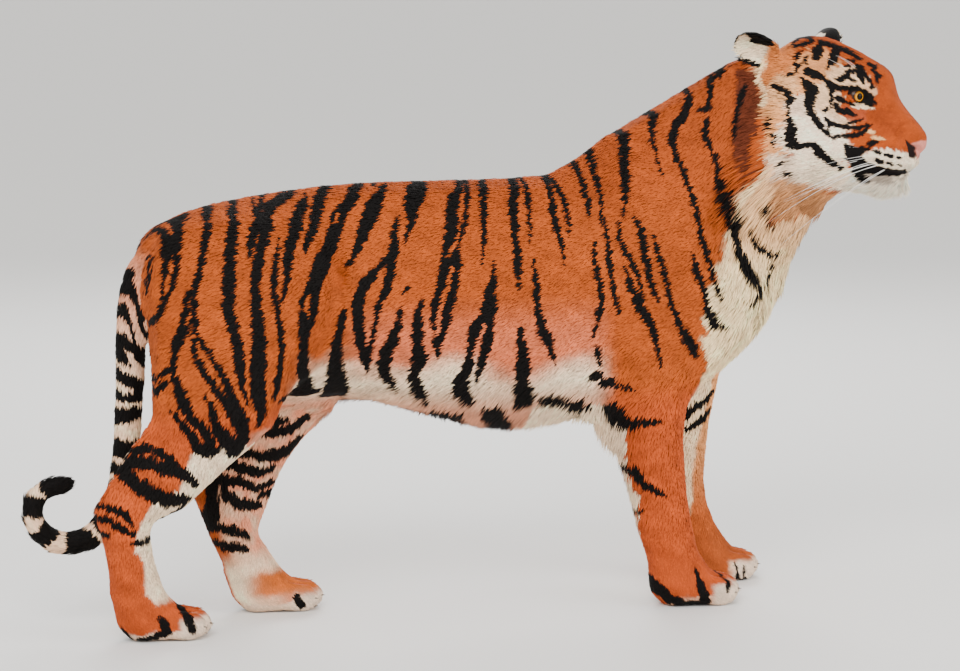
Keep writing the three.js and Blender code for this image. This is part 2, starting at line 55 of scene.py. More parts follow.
def pick_only(thing):
    """Make one object the only one picked."""
    bpy.ops.object.select_all(action="DESELECT")
    thing.select_set(True)
    bpy.context.view_layer.objects.active = thing


def work_on(thing, action, **settings):
    """Run one mesh action over the whole of one object."""
    pick_only(thing)
    bpy.ops.object.mode_set(mode="EDIT")
    bpy.ops.mesh.select_all(action="SELECT")
    action(**settings)
    bpy.ops.object.mode_set(mode="OBJECT")


work_on(floor, bpy.ops.mesh.subdivide, number_cuts=11)


def new_material(name):
    """A material with its shader, and the node tree to build on."""
    made = bpy.data.materials.new(name)
    made.use_nodes = True
    tree = made.node_tree
    shader = tree.nodes["Principled BSDF"]
    return made, tree, shader


def fill_in(node, values):
    """Set a node's inputs by their names."""
    for name, value in values.items():
        node.inputs[name].default_value = value


def add_bump(tree, shader, scale, strength, distance, detail=3.0, stretch=(1.0, 1.0, 1.0)):
    """Fine relief from noise on the object's own coordinates."""
    place = tree.nodes.new("ShaderNodeTexCoord")
    mapping = tree.nodes.new("ShaderNodeMapping")
    fill_in(mapping, {"Scale": stretch})
    noise = tree.nodes.new("ShaderNodeTexNoise")
    fill_in(noise, {"Scale": scale, "Detail": detail})
    bump = tree.nodes.new("ShaderNodeBump")
    fill_in(bump, {"Strength": strength, "Distance": distance})
    tree.links.new(place.outputs["Object"], mapping.inputs["Vector"])
    tree.links.new(mapping.outputs["Vector"], noise.inputs["Vector"])
    tree.links.new(noise.outputs["Fac"], bump.inputs["Height"])
    tree.links.new(bump.outputs["Normal"], shader.inputs["Normal"])
    return noise


paint, tree, shader = new_material("floor_paint")
fill_in(shader, {"Base Color": (0.80, 0.79, 0.77, 1.0), "Roughness": 0.7})
add_bump(tree, shader, 400.0, 0.05, 0.001)
floor.data.materials.append(paint)

# ------------------------------------------------------------ light and camera
# Soft studio light: one broad lamp high in front and to the left, a weaker one
# opposite, a strip behind, and an even pale surround.
LAMPS = (
    ("key_lamp", (-2.6, -4.6, 4.6), (0.0, 0.0, 0.6), 3.4, 385.0),
    ("fill_lamp", (3.9, -3.6, 2.0), (0.2, 0.0, 0.5), 3.0, 122.0),
    ("back_lamp", (1.2, 4.2, 3.6), (0.0, 0.0, 0.7), 2.6, 170.0),
)
for name, place, aim, size, power in LAMPS:
    bpy.ops.object.light_add(type="AREA", location=place)
    lamp = bpy.context.object
    lamp.name = name
    lamp.data.size = size
    lamp.data.energy = power
    lamp.rotation_euler = (Vector(aim) - Vector(place)).to_track_quat("-Z", "Y").to_euler()

surround = bpy.data.worlds.new("surround")
surround.use_nodes = True
fill_in(surround.node_tree.nodes["Background"], {"Color": (1.0, 0.99, 0.97, 1.0), "Strength": 1.22})
bpy.context.scene.world = surround

CAMERA_AZIMUTH = math.radians(-17.0)
CAMERA_ELEVATION = math.radians(8.0)
CAMERA_DISTANCE = 6.5
CAMERA_AIM = Vector((0.0208868, 0.0043345, 0.59))
away = Vector((
    math.sin(CAMERA_AZIMUTH) * math.cos(CAMERA_ELEVATION),
    -math.cos(CAMERA_AZIMUTH) * math.cos(CAMERA_ELEVATION),
    math.sin(CAMERA_ELEVATION),
))
bpy.ops.object.camera_add(location=CAMERA_AIM + CAMERA_DISTANCE * away)
camera = bpy.context.object
camera.name = "camera"
camera.rotation_euler = (-away).to_track_quat("-Z", "Y").to_euler()
camera.data.sensor_width = 36.0
camera.data.lens = 113.6
bpy.context.scene.camera = camera

# ------------------------------------------------------------------------ skin
# One hide over the whole animal, from the nose to the tip of the tail, ears
# included. It is cast over the solid forms, smoothed so no joint shows, and set
# in by the depth of the coat that grows on it.
BODY_VOXEL = 0.0088
# the head and its finer features lie above these heights
HEAD_BOTTOM = 0.86
MUZZLE_BOTTOM = 0.88
HEAD_ORIGIN = np.array([0.73711, -0.06366, 1.086])
HEAD_YAW = math.radians(-33.0)
HEAD_PITCH = math.radians(9.5)
HEAD_TURN = np.array([
    [math.cos(HEAD_YAW), -math.sin(HEAD_YAW), 0.0],
    [math.sin(HEAD_YAW), math.cos(HEAD_YAW), 0.0],
    [0.0, 0.0, 1.0],
]) @ np.array([
    [math.cos(HEAD_PITCH), 0.0, math.sin(HEAD_PITCH)],
    [0.0, 1.0, 0.0],
    [-math.sin(HEAD_PITCH), 0.0, math.cos(HEAD_PITCH)],
])
EYE_PLACE = np.array([0.114, 0.064, 0.034])
EYE_RADIUS = 0.020


def to_head(points):
    """Points as the head sees them: X to the nose, Y to its left, Z up."""
    return (points - HEAD_ORIGIN) @ HEAD_TURN


def from_head(points):
    """Points of the head's frame as the room sees them."""
    return points @ HEAD_TURN.T + HEAD_ORIGIN


def ramp(values, low, high):
    """0 below low, 1 above high, smooth between."""
    share = np.clip((values - low) / (high - low), 0.0, 1.0)
    return share * share * (3.0 - 2.0 * share)


def unit(vectors):
    """Each row brought to length one."""
    return vectors / np.maximum(np.linalg.norm(vectors, axis=1, keepdims=True), 1e-9)


def toward(x, y, z):
    """A way of length one."""
    return unit(np.array([[x, y, z]]))[0]


def read_rows(items, name, across=3, kind=np.float32):
    """One value of each item in a mesh's list, a row for each."""
    flat = np.empty(len(items) * across, kind)
    items.foreach_get(name, flat)
    return flat.reshape(-1, across)


def get_points(mesh):
    return read_rows(mesh.vertices, "co").astype(float)


def get_normals(mesh):
    return read_rows(mesh.vertices, "normal").astype(float)


def set_points(mesh, points):
    mesh.vertices.foreach_set("co", np.ascontiguousarray(points, np.float32).ravel())
    mesh.update()


FLESH = [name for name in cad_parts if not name.startswith(("eye_", "claw_"))]
EYES = ["eye_right", "eye_left"]
bpy.ops.object.select_all(action="DESELECT")
for name in FLESH + EYES:
    lump = bpy.data.objects.new("lump_" + name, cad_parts[name].data.copy())
    bpy.context.scene.collection.objects.link(lump)
    lump.select_set(True)
    bpy.context.view_layer.objects.active = lump
bpy.ops.object.join()
skin = bpy.context.view_layer.objects.active
skin.name = "skin"
skin.data.name = "skin"
work_on(skin, bpy.ops.mesh.remove_doubles, threshold=0.00005)
cast = skin.modifiers.new("cast", "REMESH")
cast.mode = "VOXEL"
cast.voxel_size = BODY_VOXEL
bpy.ops.object.modifier_apply(modifier="cast")
skin.data.materials.clear()
ease = skin.modifiers.new("ease", "SMOOTH")
ease.factor = 0.5
ease.iterations = 8
bpy.ops.object.modifier_apply(modifier="ease")


def refine(chosen, cuts, smoothing):
    """Finer faces where chosen(points) is true, then a light smoothing there."""
    mesh = skin.data
    keep = chosen(read_rows(mesh.polygons, "center").astype(float))
    bpy.ops.object.mode_set(mode="EDIT")
    bpy.ops.mesh.select_all(action="DESELECT")
    bpy.ops.object.mode_set(mode="OBJECT")
    mesh.polygons.foreach_set("select", keep)
    bpy.ops.object.mode_set(mode="EDIT")
    bpy.ops.mesh.select_mode(type="FACE")
    bpy.ops.mesh.subdivide(number_cuts=cuts, smoothness=0.0)
    for _ in range(smoothing):
        bpy.ops.mesh.vertices_smooth(factor=0.5)
    bpy.ops.object.mode_set(mode="OBJECT")


# where each foot stands, along and across
PAWS = ((0.4861, -0.1097), (0.6211, 0.1123), (-0.6799, -0.0957), (-0.3959, 0.0923))


def toe_face(points):
    """Above 0 on the front half of each paw."""
    ahead = np.full(len(points), -1.0)
    for x, y in PAWS:
        near = np.hypot(points[:, 0] - x, points[:, 1] - y) < 0.13
        ahead = np.where(near, points[:, 0] - (x - 0.03), ahead)
    return ahead


def fine_face(points):
    """True round the eyes, on the nose and along the lips."""
    x, y, z = to_head(points).T
    eye_x, eye_y, eye_z = EYE_PLACE
    eyes = np.hypot(np.hypot(x - eye_x, np.abs(y) - eye_y), z - eye_z) < 0.042
    nose = (x > 0.20) & (z > -0.13) & (z < -0.02)
    lips = (x > 0.12) & (np.abs(z + 0.108) < 0.016)
    return (points[:, 2] > HEAD_BOTTOM) & (eyes | nose | lips)


refine(lambda p: (to_head(p)[:, 0] > 0.035) & (p[:, 2] > 0.9), 1, 3)
refine(fine_face, 1, 2)
refine(lambda p: (p[:, 2] < 0.085) & (p[:, 2] > 0.006) & (toe_face(p) > 0), 1, 1)


def coat_depth(points):
    """How deep the coat stands over the skin at each place."""
    head = to_head(points)
    face = ramp(head[:, 0], -0.06, 0.10) * (points[:, 2] > MUZZLE_BOTTOM)
    muzzle = ramp(head[:, 0], 0.10, 0.20) * (points[:, 2] > MUZZLE_BOTTOM)
    depth = 0.0062 - 0.0022 * face - 0.0022 * muzzle
    feet = 1.0 - ramp(points[:, 2], 0.06, 0.30)
    depth = depth - 0.0025 * feet
    belly = ramp(points[:, 0], -0.25, -0.1) * (1 - ramp(points[:, 0], 0.1, 0.3))
    return depth + 0.003 * belly * (1 - ramp(points[:, 2], 0.45, 0.60)) * (points[:, 2] > 0.35)


GAZE = toward(0.70, 0.70, 0.08)
LID_AXIS = unit(np.cross(GAZE, np.array([[0.10, -0.45, 1.0]])))[0]
LID_UP = np.cross(LID_AXIS, GAZE)


def eye_frame(head_points, side):
    """Places round one eye: along the slit towards the nose, up, and out along the gaze."""
    flipped = head_points * (1.0, side, 1.0) - EYE_PLACE
    return np.stack([flipped @ -LID_AXIS, flipped @ LID_UP, flipped @ GAZE], axis=1)


def by_the_eye(local, radii):
    """True in front of the eye, within so many of its own radii."""
    return (np.linalg.norm(local, axis=1) < radii * EYE_RADIUS) & (local[:, 2] > 0)


def slit(local):
    """Above 0 inside the open slit between the lids, in metres from its edge."""
    across = local[:, 0] / EYE_RADIUS
    upper = 0.46 * (1 - np.clip(across / 0.86, -1, 1) ** 2) ** 0.8
    lower = -0.46 * (1 - np.clip(across / 0.88, -1, 1) ** 2) ** 0.9 - 0.05 * across
    above = upper * EYE_RADIUS - local[:, 1]
    below = local[:, 1] - lower * EYE_RADIUS
    ends = (0.87 - np.abs(across)) * EYE_RADIUS
    return np.minimum(np.minimum(above, below), ends)


def set_lids(head):
    """Lids over the ball of each eye, open at the slit, with a crease above."""
    for side in (-1.0, 1.0):
        local = eye_frame(head, side)
        radius = np.linalg.norm(local, axis=1)
        near = radius < 2.2 * EYE_RADIUS
        out = local[:, 2] > 0.2 * EYE_RADIUS
        opening = slit(local)
        lid = EYE_RADIUS + 0.0032 - 0.0012 * ramp(-opening, 0.002, 0.007)
        sunk = EYE_RADIUS - 0.0045
        target = lid + (sunk - lid) * ramp(opening, -0.0006, 0.0010)
        off_gaze = np.hypot(local[:, 0] * 0.80, local[:, 1])
        hold = (1.0 - ramp(off_gaze, 0.75 * EYE_RADIUS, 1.35 * EYE_RADIUS)) * out * near
        stretch = 1.0 + hold * (target / np.maximum(radius, 1e-6) - 1.0)
        moved = local * stretch[:, None]
        crease = np.exp(-((opening + 0.0075) / 0.0022) ** 2) * (local[:, 1] > 0) * out
        moved[:, 2] -= 0.0016 * crease * (radius < 1.9 * EYE_RADIUS)
        placed = EYE_PLACE + moved[:, :1] * -LID_AXIS + moved[:, 1:2] * LID_UP + moved[:, 2:] * GAZE
        head = np.where(near[:, None], placed * (1.0, side, 1.0), head)
    return head


def shape_face(points):
    """Lids, tear ducts, nostrils, the lip line and the cleft under the nose."""
    head = set_lids(to_head(points))
    side = np.sign(head[:, 1])
    out = np.abs(head[:, 1])
    forward, up = head[:, 0], head[:, 2]

    def swell(x, y, z, wide_x, wide_y, wide_z):
        """1 at one place of the face, fading over the given widths."""
        return np.exp(-((forward - x) / wide_x) ** 2 - ((out - y) / wide_y) ** 2 - ((up - z) / wide_z) ** 2)

    push_x = np.zeros(len(head))
    push_y = np.zeros(len(head))
    push_z = np.zeros(len(head))
    beside_nose = ramp(forward, 0.215, 0.245) * ramp(out, 0.024, 0.036)
    beside_nose = beside_nose * ramp(up, -0.090, -0.074) * (1 - ramp(up, -0.030, -0.005))
    push_x -= 0.013 * beside_nose
    push_y -= 0.006 * swell(0.205, 0.060, -0.040, 0.035, 0.02, 0.020)
    pads = swell(0.232, 0.030, -0.092, 0.030, 0.024, 0.019)
    push_x += 0.010 * pads
    push_y += 0.004 * swell(0.205, 0.060, -0.092, 0.030, 0.020, 0.022)
    cleft = ramp(forward, 0.225, 0.24) * np.exp(-(out / 0.0035) ** 2)
    cleft = cleft * ramp(-up, 0.076, 0.082) * (1 - ramp(-up, 0.112, 0.124))
    push_x -= 0.0055 * cleft
    push_y -= 0.0050 * swell(0.150, 0.056, 0.004, 0.040, 0.018, 0.022)
    push_z -= 0.0030 * swell(0.140, 0.0, 0.050, 0.030, 0.014, 0.030)
    push_x += 0.006 * swell(0.235, 0.0, -0.142, 0.020, 0.030, 0.014)
    mouth = np.exp(-(lip_line(head) / 0.0032) ** 2) * ramp(forward, 0.105, 0.14)
    push_x -= 0.006 * mouth * ramp(forward, 0.20, 0.235)
    push_y -= 0.005 * mouth * (1 - ramp(forward, 0.20, 0.245))
    across_hole = (out - 0.0200) / 0.0090
    up_hole = (up + 0.057 - 0.60 * (out - 0.0200)) / 0.0058
    hole = np.exp(-(across_hole ** 2 + up_hole ** 2) ** 2)
    push_x -= 0.0085 * hole * ramp(forward, 0.235, 0.25)
    slot = np.exp(-((out - 0.028) / 0.006) ** 2 - ((up + 0.052) / 0.0045) ** 2)
    push_y -= 0.004 * slot * ramp(forward, 0.225, 0.245)
    on_face = points[:, 2] > HEAD_BOTTOM
    head[:, 0] += push_x * on_face
    head[:, 1] += push_y * side * on_face
    head[:, 2] += push_z * on_face
    return from_head(head)


def lip_line(head):
    """How far each place of the muzzle is from the closed mouth, in metres."""
    level = np.interp(head[:, 0], [0.12, 0.16, 0.20, 0.24, 0.27], [-0.098, -0.107, -0.113, -0.110, -0.105])
    level = level + 0.006 * np.exp(-(head[:, 1] / 0.012) ** 2) * (head[:, 0] > 0.2)
    return np.abs(head[:, 2] - level) + 0.5 * np.maximum(0.0, 0.125 - head[:, 0])


# root, way to the tip, and the way each ear's cup faces, in the head's frame
EARS = tuple(
    (np.array(root), toward(*tip), toward(*facing))
    for root, tip, facing in (
        ((-0.068, -0.080, 0.088), (-0.90, -0.32, 0.25), (0.15, -0.80, -0.55)),
        ((0.010, 0.074, 0.090), (-0.10, 0.75, 0.62), (0.50, 0.70, -0.50)),
    )
)


def from_ear(head, root, tip):
    """How far up an ear each place is, the way it lies off the ear's middle line, and how far."""
    from_root = head - root
    height = from_root @ tip
    outward = from_root - height[:, None] * tip
    return height, outward, np.linalg.norm(outward, axis=1)


CLAWS = [np.array(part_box(name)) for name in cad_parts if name.startswith("claw_")]


def shape_paws(points):
    """A round knuckle over each claw, with a groove between it and the next toe."""
    points = points.copy()
    low = points[:, 2] < 0.13
    for corner in CLAWS:
        back, y = corner[0, 0], corner[:, 1].mean()
        across = (points[:, 1] - y) / 0.0135
        near = low & (np.abs(across) < 2.2)
        near = near & (points[:, 0] > back - 0.075) & (points[:, 0] < back + 0.06)
        ahead = ramp(points[:, 0], back - 0.060, back - 0.004) * near
        knuckle = np.exp(-np.abs(across) ** 3.0) * ahead
        gap = np.exp(-((np.abs(across) - 1.24) / 0.30) ** 2) * ahead
        height = np.exp(-((points[:, 2] - 0.030) / 0.036) ** 2)
        points[:, 0] += (0.015 * knuckle - 0.007 * gap) * height
        points[:, 2] += (0.007 * knuckle - 0.004 * gap) * ramp(points[:, 2], 0.022, 0.050)
    return points


points = get_points(skin.data)
normals = get_normals(skin.data)
points = points - normals * coat_depth(points)[:, None]
points = shape_face(points)
points = shape_paws(points)
points[:, 2] = np.maximum(points[:, 2], 0.0)
set_points(skin.data, points)

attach(skin, "root")
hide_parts(*FLESH)

# -------------------------------------------------------------------- markings
# The coat's colours: orange above, cream below, black stripes. Every stripe is
# listed as a row of places and widths in centimetres: along the body and up from
# the floor, or, on the face, forward and up in the head's own frame.
def read_strokes(text):
    """One stroke for each row of places. A row that ends in a comma runs on below."""
    rows = text.strip().replace(",\n", ",").split("\n")
    return [
        np.array([[float(v) for v in place.split()] for place in row.split(",")])
        for row in rows
    ]


NECK_STRIPES = read_strokes("""
35.5 106 2.5, 33.5 103 2.4, 32.3 100 2.1, 30.5 95 1.7, 29.8 90 1.3, 28.8 85 .2
42 109 1.6, 39.7 105.7 1.5, 38.7 103.5 1.4, 38.2 101 .9, 38 97 .5, 38 93.5 .1
48.5 111.5 .4, 46.8 108.5 1.6, 45.6 106 1.6, 43.3 103.5 1.8, 42.1 101 1.6, 41.8 98 1.2,
  42.6 95.5 1.1, 43.2 91 1, 44 86.5 .9, 44.8 81.5 .8, 45.8 78 1.1, 46.7 74 .9, 48 70.5 .8,
  49.3 67.3 .1
57.5 116.5 .3, 54 114 1.1, 52.3 112.8 1.1, 51.3 110.4 .8, 50.6 107.3 1, 48.5 106.6 .5
49.8 104.7 .7, 48.8 102.6 1.4, 48.9 99.8 1.2, 49.7 97.5 1, 50 95.1 1, 49.6 92.4 1.4, 50.1 90 1.8,
  51 87.4 2.1, 51.9 84.3 1.6, 52.9 80.8 1.4, 53.5 77.6 1.2, 55 74.6 1.9, 56.2 72 2.1, 58 70 1.2,
  58 68.3 .7, 56 66 .1
50.3 93.3 .8, 52 90.6 1, 53.3 87 .9, 53.5 83 .7, 54 79.3 .6
58.8 112.3 .2, 57.1 109.3 1, 56.2 107.6 .9, 55.3 104.9 .7, 54.5 102.3 .9, 54.3 101 .3
60 95 1, 60.2 91.5 .7, 60.2 87 1.6, 61.3 85.2 1.7, 62.8 83.6 1.4, 63.3 82.4 .3
57 81.5 .2, 58.5 79.3 .8, 60.8 77 1, 63 76 .9, 65.5 76 .7
62.8 73.5 .6, 64 73.3 .6
61 70.5 .7, 63 71 .4
30.6 85.6 .2, 31.7 83.3 1, 32 80.2 1.5, 32.5 76.5 1.4, 33 73 1.3, 34 69.8 .9, 35 67.6 .1
34.2 81.6 .2, 35.1 78 .9, 36.1 74.3 .8, 37.1 70.4 1, 38.1 67 1, 39.7 62.5 1.2, 41.9 58.6 2,
  43.2 56.2 1.6
42.3 78.1 .2, 43.4 74.6 1, 44.6 71.4 1.2, 45.7 68.3 1.2, 46.3 64.7 1.6, 48 62.5 1.6, 50.5 61.8 1
27.7 84.1 .2, 27.6 80.6 .9, 28.7 77.8 1, 29.9 75.2 .9, 31 72 .7, 31.7 68 .7
28 75.2 .2, 28.9 72 1.2, 30 68.8 1.6, 31 66.4 2.1, 32.5 64 1.6, 33.6 62 1.4, 34.6 57.5 1,
  35.2 53.7 .3
25.1 85.1 .4, 25 81.3 .9, 25 76.5 1, 25.2 72 .7, 25.6 68.7 1, 26.7 65.6 .2
""")
TRUNK_STRIPES = read_strokes("""
-10.3 93.5 3.2, -13.8 90.6 4, -15.5 88 3, -16.2 85.8 1.8, -17.3 83 .8, -18.3 80.8 .1
-2.9 92.3 1, -6 89.2 2, -7.5 86.2 2.4, -8 83.4 2.4, -9.2 80.8 1.9, -10.5 78.2 .9, -11.4 75.6 .2
0 94 1.4, -2.2 91.5 1.1, -3.6 88.2 .9, -4.9 84.7 .7, -6.4 81.8 .5, -7.3 79.8 .4
-5 92.5 .6, -1 94 .8, 2.5 94 .3
-7.4 79.2 .7, -8.3 77.2 3, -9.7 75 4.4, -10.5 71.5 4.3, -11.6 68 4.4, -12 64.6 3.8, -12.1 61 2,
  -12.3 58.6 1.2, -12.2 57 .3
4.2 94.2 1, 1.3 91.3 1.9, 0 88.3 1.3, -.9 85 .9, -1.3 81.7 .8, -2 79 .6, -2.6 76.2 .1
11.3 94.6 1.8, 8.1 91.4 1.9, 6.3 88 1.7, 5.6 84.8 1.6, 5.4 82 1.1, 5.3 79 1.3, 5 76 1.5,
  4.9 73.4 1, 4.8 71 .2
11.5 94.4 .8, 10.4 91 1, 9.7 88 .9, 9 84.8 .7, 8.6 82.3 .5, 8.2 79.9 .1
17.3 95.8 1.2, 15.8 92.5 1.6, 15.1 89.8 1.4, 14.5 86.5 1.2, 14.6 83.6 1.2, 15 81 1.1,
  15.1 78.3 .7, 15 75.9 .1
17 94.5 .9, 16.9 91.8 1.2, 17.5 89.5 1.2, 17.6 86.8 1, 17.4 84.2 .8, 17 81.3 .1
23 97.8 1.6, 22.5 94.5 1.4, 22.2 91.5 1.2, 22.1 88.6 1, 22 86 .6, 22 84.8 .1
27.3 100 2, 26 97.3 1.6, 25.2 94.4 1.3, 25.1 91 1, 24.9 87.8 .7, 24.3 84 .1
22.4 80.2 .2, 21.7 77 .8, 22 74 1, 22.5 71 1.1, 22.5 68.2 1, 21.9 64.8 .8, 20.3 60.2 .1
8.3 77 .2, 8.6 74.1 .9, 8.7 70.8 1, 8.6 67.5 1, 9.2 64.7 1.7, 9.7 62.3 2, 10.3 61 2,
  11.2 58.8 1.6, 12 56.6 .8, 12.5 55 .3
.2 77 .2, -.6 73.5 1, -1.4 70.2 2, -1.7 67.2 3, -2.6 64.3 3.6
-4.3 63.7 2.4, -5.5 60.8 1.8, -5.5 57.4 1.6, -5.9 54.3 2, -6.6 51.5 3, -5.6 49 3.4, -3.2 47 1.6
-2 62 2.2, -2.6 58.2 1.8, -3.1 54.8 1.6, -3.5 51.2 .3
5 62.5 1.2, 5.1 59.4 1.6, 5.6 56.5 2.4, 5.8 54 3.2, 6 51.8 2.2, 6.9 49.3 3.8, 7.5 47.7 4.4,
  9.8 47 .6
-15.6 69.4 .2, -16.6 67 1.4, -16.7 63.3 2.3, -16.6 60.3 2.2, -15.8 56.8 3.2, -16.2 55 2,
  -16.5 52.4 2.2, -14.8 50 2.4, -12.5 47.7 1.6, -11.3 46.3 .3
-18.2 72.3 .3, -18.9 71.5 .7, -19.8 70.5 .1
-9.7 45 1, -7 43.3 2.6, -4.7 42.6 3.6, -2.2 40 1.8, .2 39.3 .4
-.3 45.6 1, 1.8 44.6 3.4, 4.1 42.4 3.8, 6.4 40.5 3, 8.4 40.3 1.2
11.1 47 1.4, 13.4 47.2 2.2, 16.7 46.5 1.6, 19.5 45.4 2.4, 21.7 45.2 1.4, 23.1 45 .2
21.4 58.7 .6, 22 56.7 1.2, 22.7 54.3 .5
21.3 52 1, 22.4 52.4 1.8, 23.3 51.6 1.4
23.7 50.5 1.4, 25.5 50.4 1.2, 28 49.6 .6, 30 48.6 .1
""")
RUMP_STRIPES = read_strokes("""
-34 93 .6, -37.3 92 1.6, -41.8 90.2 2.2, -45.8 88.5 2.2, -48.3 85.8 2, -49.6 82.3 1.7,
  -51.1 78.5 2, -52 74.8 1.8, -52 70.8 2, -51.8 66.8 2.3, -51.8 63 2.6, -52 59 2.9, -52.2 56 2.6,
  -51.9 51.2 2.8, -51.5 48.7 2, -52.2 45.8 .5
-46.5 87.7 .8, -46.9 84.7 .2
-44.3 91.3 1, -47.8 88.4 .9, -50.9 84.8 1.6, -52.4 81.5 1.2, -52.7 80 .6
-46.8 91.2 .5, -48.5 89 .4, -49.5 87.3 .6
-50.5 90.6 1.6, -53.5 88 1.7, -55.4 84.6 1.9, -56.6 80.6 2, -57.2 76.2 2.2, -57.5 72.7 2.4,
  -57.6 68.8 2.2, -56.7 65.2 2.2, -56.1 61.2 2, -55.8 57.1 1.7, -55.6 54 1.2, -54.3 50.2 .2
-56 89.5 1.9, -59.1 86.6 1.6, -61 82.8 1.4, -62.3 78.2 1.2, -63.5 73.8 1, -64 69.6 1, -64.1 65 1,
  -61.7 60.7 .9, -59.6 56.8 1.4, -57.9 53 1.4, -56.7 49.8 1.4, -54.9 46.3 2, -55 43.3 2,
  -56.6 41 3
-64.6 63.2 1, -64.3 60 1, -62.8 57 1.6, -61.5 54.4 1.3, -59.6 52 1.6, -57.9 49.4 2.2,
  -56.4 46.3 2, -55.7 44 .5
-64.7 72.8 1.2, -65.7 69.4 1.4, -66.4 65.7 1.4, -67.8 62.4 1.6, -68.1 59.2 1.4, -68.4 56 1,
  -67.8 52.8 1.6, -66.7 49.6 1.8, -64.8 47 1.8, -63 45.6 2, -61.6 42.5 1.6, -60.1 40.6 .8
-67.6 55.8 .5, -66.8 53 .9, -65.2 48.3 .3
-64.3 68 .3, -65.7 65 .7, -67.3 61 .4
-63 53 .3, -61.9 50.2 1.2, -61.3 47.3 1.6, -59.9 45 2.4, -58.4 42.6 3, -56.8 40.8 3
-69.4 49 .4, -67.5 47 1.4, -66 44.9 1.8, -64.6 42.3 2.6, -62 40.5 2.2
-73.3 50.5 1.6, -71.5 52.6 1.6, -69.8 54.6 .8
-72.2 53.2 1, -70.7 56 .8, -69.2 57.5 .8
-73.5 41.3 1, -71.3 40.5 1.2, -69.3 39.5 .8
-59.3 89.5 1.2, -62 87.3 1.6, -65 85 2, -66 82.5 2.2, -66.6 79 1, -67 76 .9, -67.9 73 .8,
  -69.4 70 1, -70.2 68 1.4, -71.3 66 1.4, -72 63 .6, -72.5 60 .5, -73 58 .2
-67.2 84 2.2, -68 81 2.2, -68.7 77.8 1.6, -69.2 74.8 .6, -69.5 71.4 .7
-64.6 87 .6, -67.5 85.3 1.2, -69.7 83.3 1.6, -70.2 82 1.4
-70.5 79.2 .8, -71.2 76 1.2, -71.6 73 .9, -71.8 71 .3
-46.2 83 .2, -47.3 79.2 .9, -48.2 75.4 1.1, -48.2 72 1.2, -47.6 68.8 1.2, -47 64.8 1,
  -46.8 60.8 .8, -47.3 56.8 1, -47.9 53.5 1, -48.5 51 .7
-37 90.6 .3, -38.6 88.8 1.8, -41.3 86.3 2.3, -43.4 82.6 2.1, -44.7 79 1.5, -45.6 74.8 1,
  -46.5 70.5 .3
-30.6 92.8 2, -34.3 90.2 2.2, -36.6 86.8 2, -38.6 84 1.5, -40 82.2 1.2, -40.8 80.6 .6
-23.6 93 2, -26.8 91 2.2, -29.2 88.5 2, -32 85.8 2.8, -34.1 82.5 2.4, -36.1 79.3 3,
  -37.7 76.5 3.2, -39.3 73.5 2.6, -40.5 71 3.5, -40.9 68 3.4, -41.9 64.8 2, -41.7 61.5 1.7,
  -41.7 58.6 2, -41 55.5 2.2, -38.5 50.6 3
-46.5 50 .8, -43 50.3 1.6, -39 49.5 2.4, -35.5 50 .8
-19.6 92 .6, -22.6 89.5 2.6, -24.8 86.4 2.9, -26.8 83.4 2.4, -28.6 80.5 1.8, -31.6 76.5 .2
-18.5 93.3 .3, -21 93 1, -22 91.8 .6
-18.8 86.5 .2, -20 83 1.3, -21.2 79 2, -22 75 1.9, -23.2 71.3 1.7, -24.8 69 1, -25.4 65.6 .9,
  -25.9 62.2 1, -26.3 58.8 .9, -26 54 .3
-22.9 77.8 .8, -25 75.6 1.4, -27.5 73.3 2, -29 70.5 2.2, -29.3 66.3 2.2, -28.8 62.8 2.2,
  -27.8 58.9 1.8, -26.3 54.8 .8
-20 68 .2, -20.9 64 1.6, -21.6 61.2 2.4, -22.8 58 2.6, -23.1 56 2.6, -22.5 53.6 2.2,
  -20.8 51.8 1.4, -18.8 49.6 .2
-32.6 67.8 1, -33 64.3 1.3, -33.7 60.9 1.8, -33.5 57.7 2.6, -33 54.5 3.4, -32 51.5 4.4,
  -31.3 49.3 5.5, -28 48.3 1
""")
LIMB_STRIPES = read_strokes("""
-76.3 40.3 .8, -73.5 41.2 1, -71 40.2 1, -68.8 38 1.4, -66.8 36 1.8, -64.2 33.6 .4
-77 38.2 2, -74 38.3 2.2, -71.8 37.5 2, -69 36.8 2, -66.5 35.3 1
-79 36.6 2.4, -76 33.9 2.6, -73 32.2 3, -70 30.9 3, -66.7 30.6 2, -65.2 31 .4
-84 29 .4, -82.2 29.2 .8, -79.8 28.6 1.4, -78.2 27.5 1, -77.3 25.9 .3
-84.5 27 .6, -82.2 27 1.2, -80 26 .4
-80.8 25.5 .4, -78.7 24.8 1, -77 23.8 .8
-83.2 23.8 .3, -82.2 23.4 .7, -81.6 24 .2
-77 21.7 .8, -75 21.5 .8, -72.9 22 .8
-71.6 26 .2, -69.8 26.3 .8, -66.8 29 .3
-80.5 3.5 1, -78.8 2 1.4, -77 .5 .8
-75.5 .8 .4, -72.5 1.2 .8, -70 2.2 1.4, -70.6 4.4 1.4, -71.5 5.2 .6
-66.8 7 .6, -65.5 5 1.4, -64.6 2.8 1.6
25.8 45.4 1.6, 27.2 43.6 2.4, 29 42.2 1.8, 32 42 1.2, 35 42.4 .3
28.5 33.8 .4, 31.5 31.8 1, 33 28.8 1, 34.8 27 .9, 37.5 25.6 .2
30.5 22.3 .6, 31.8 21 1.4, 33.8 22.3 .3
35.2 8.6 .5, 36.3 6.4 1.4, 38 4 1.8, 40.2 2 1.6, 43 .9 1.4, 48 .5 1.2
47.6 1.5 1.8, 46.8 4.5 1.6, 45.4 8.5 .4
52.3 6.9 .3, 52.9 5 .7, 52.6 3.2 .3
""")
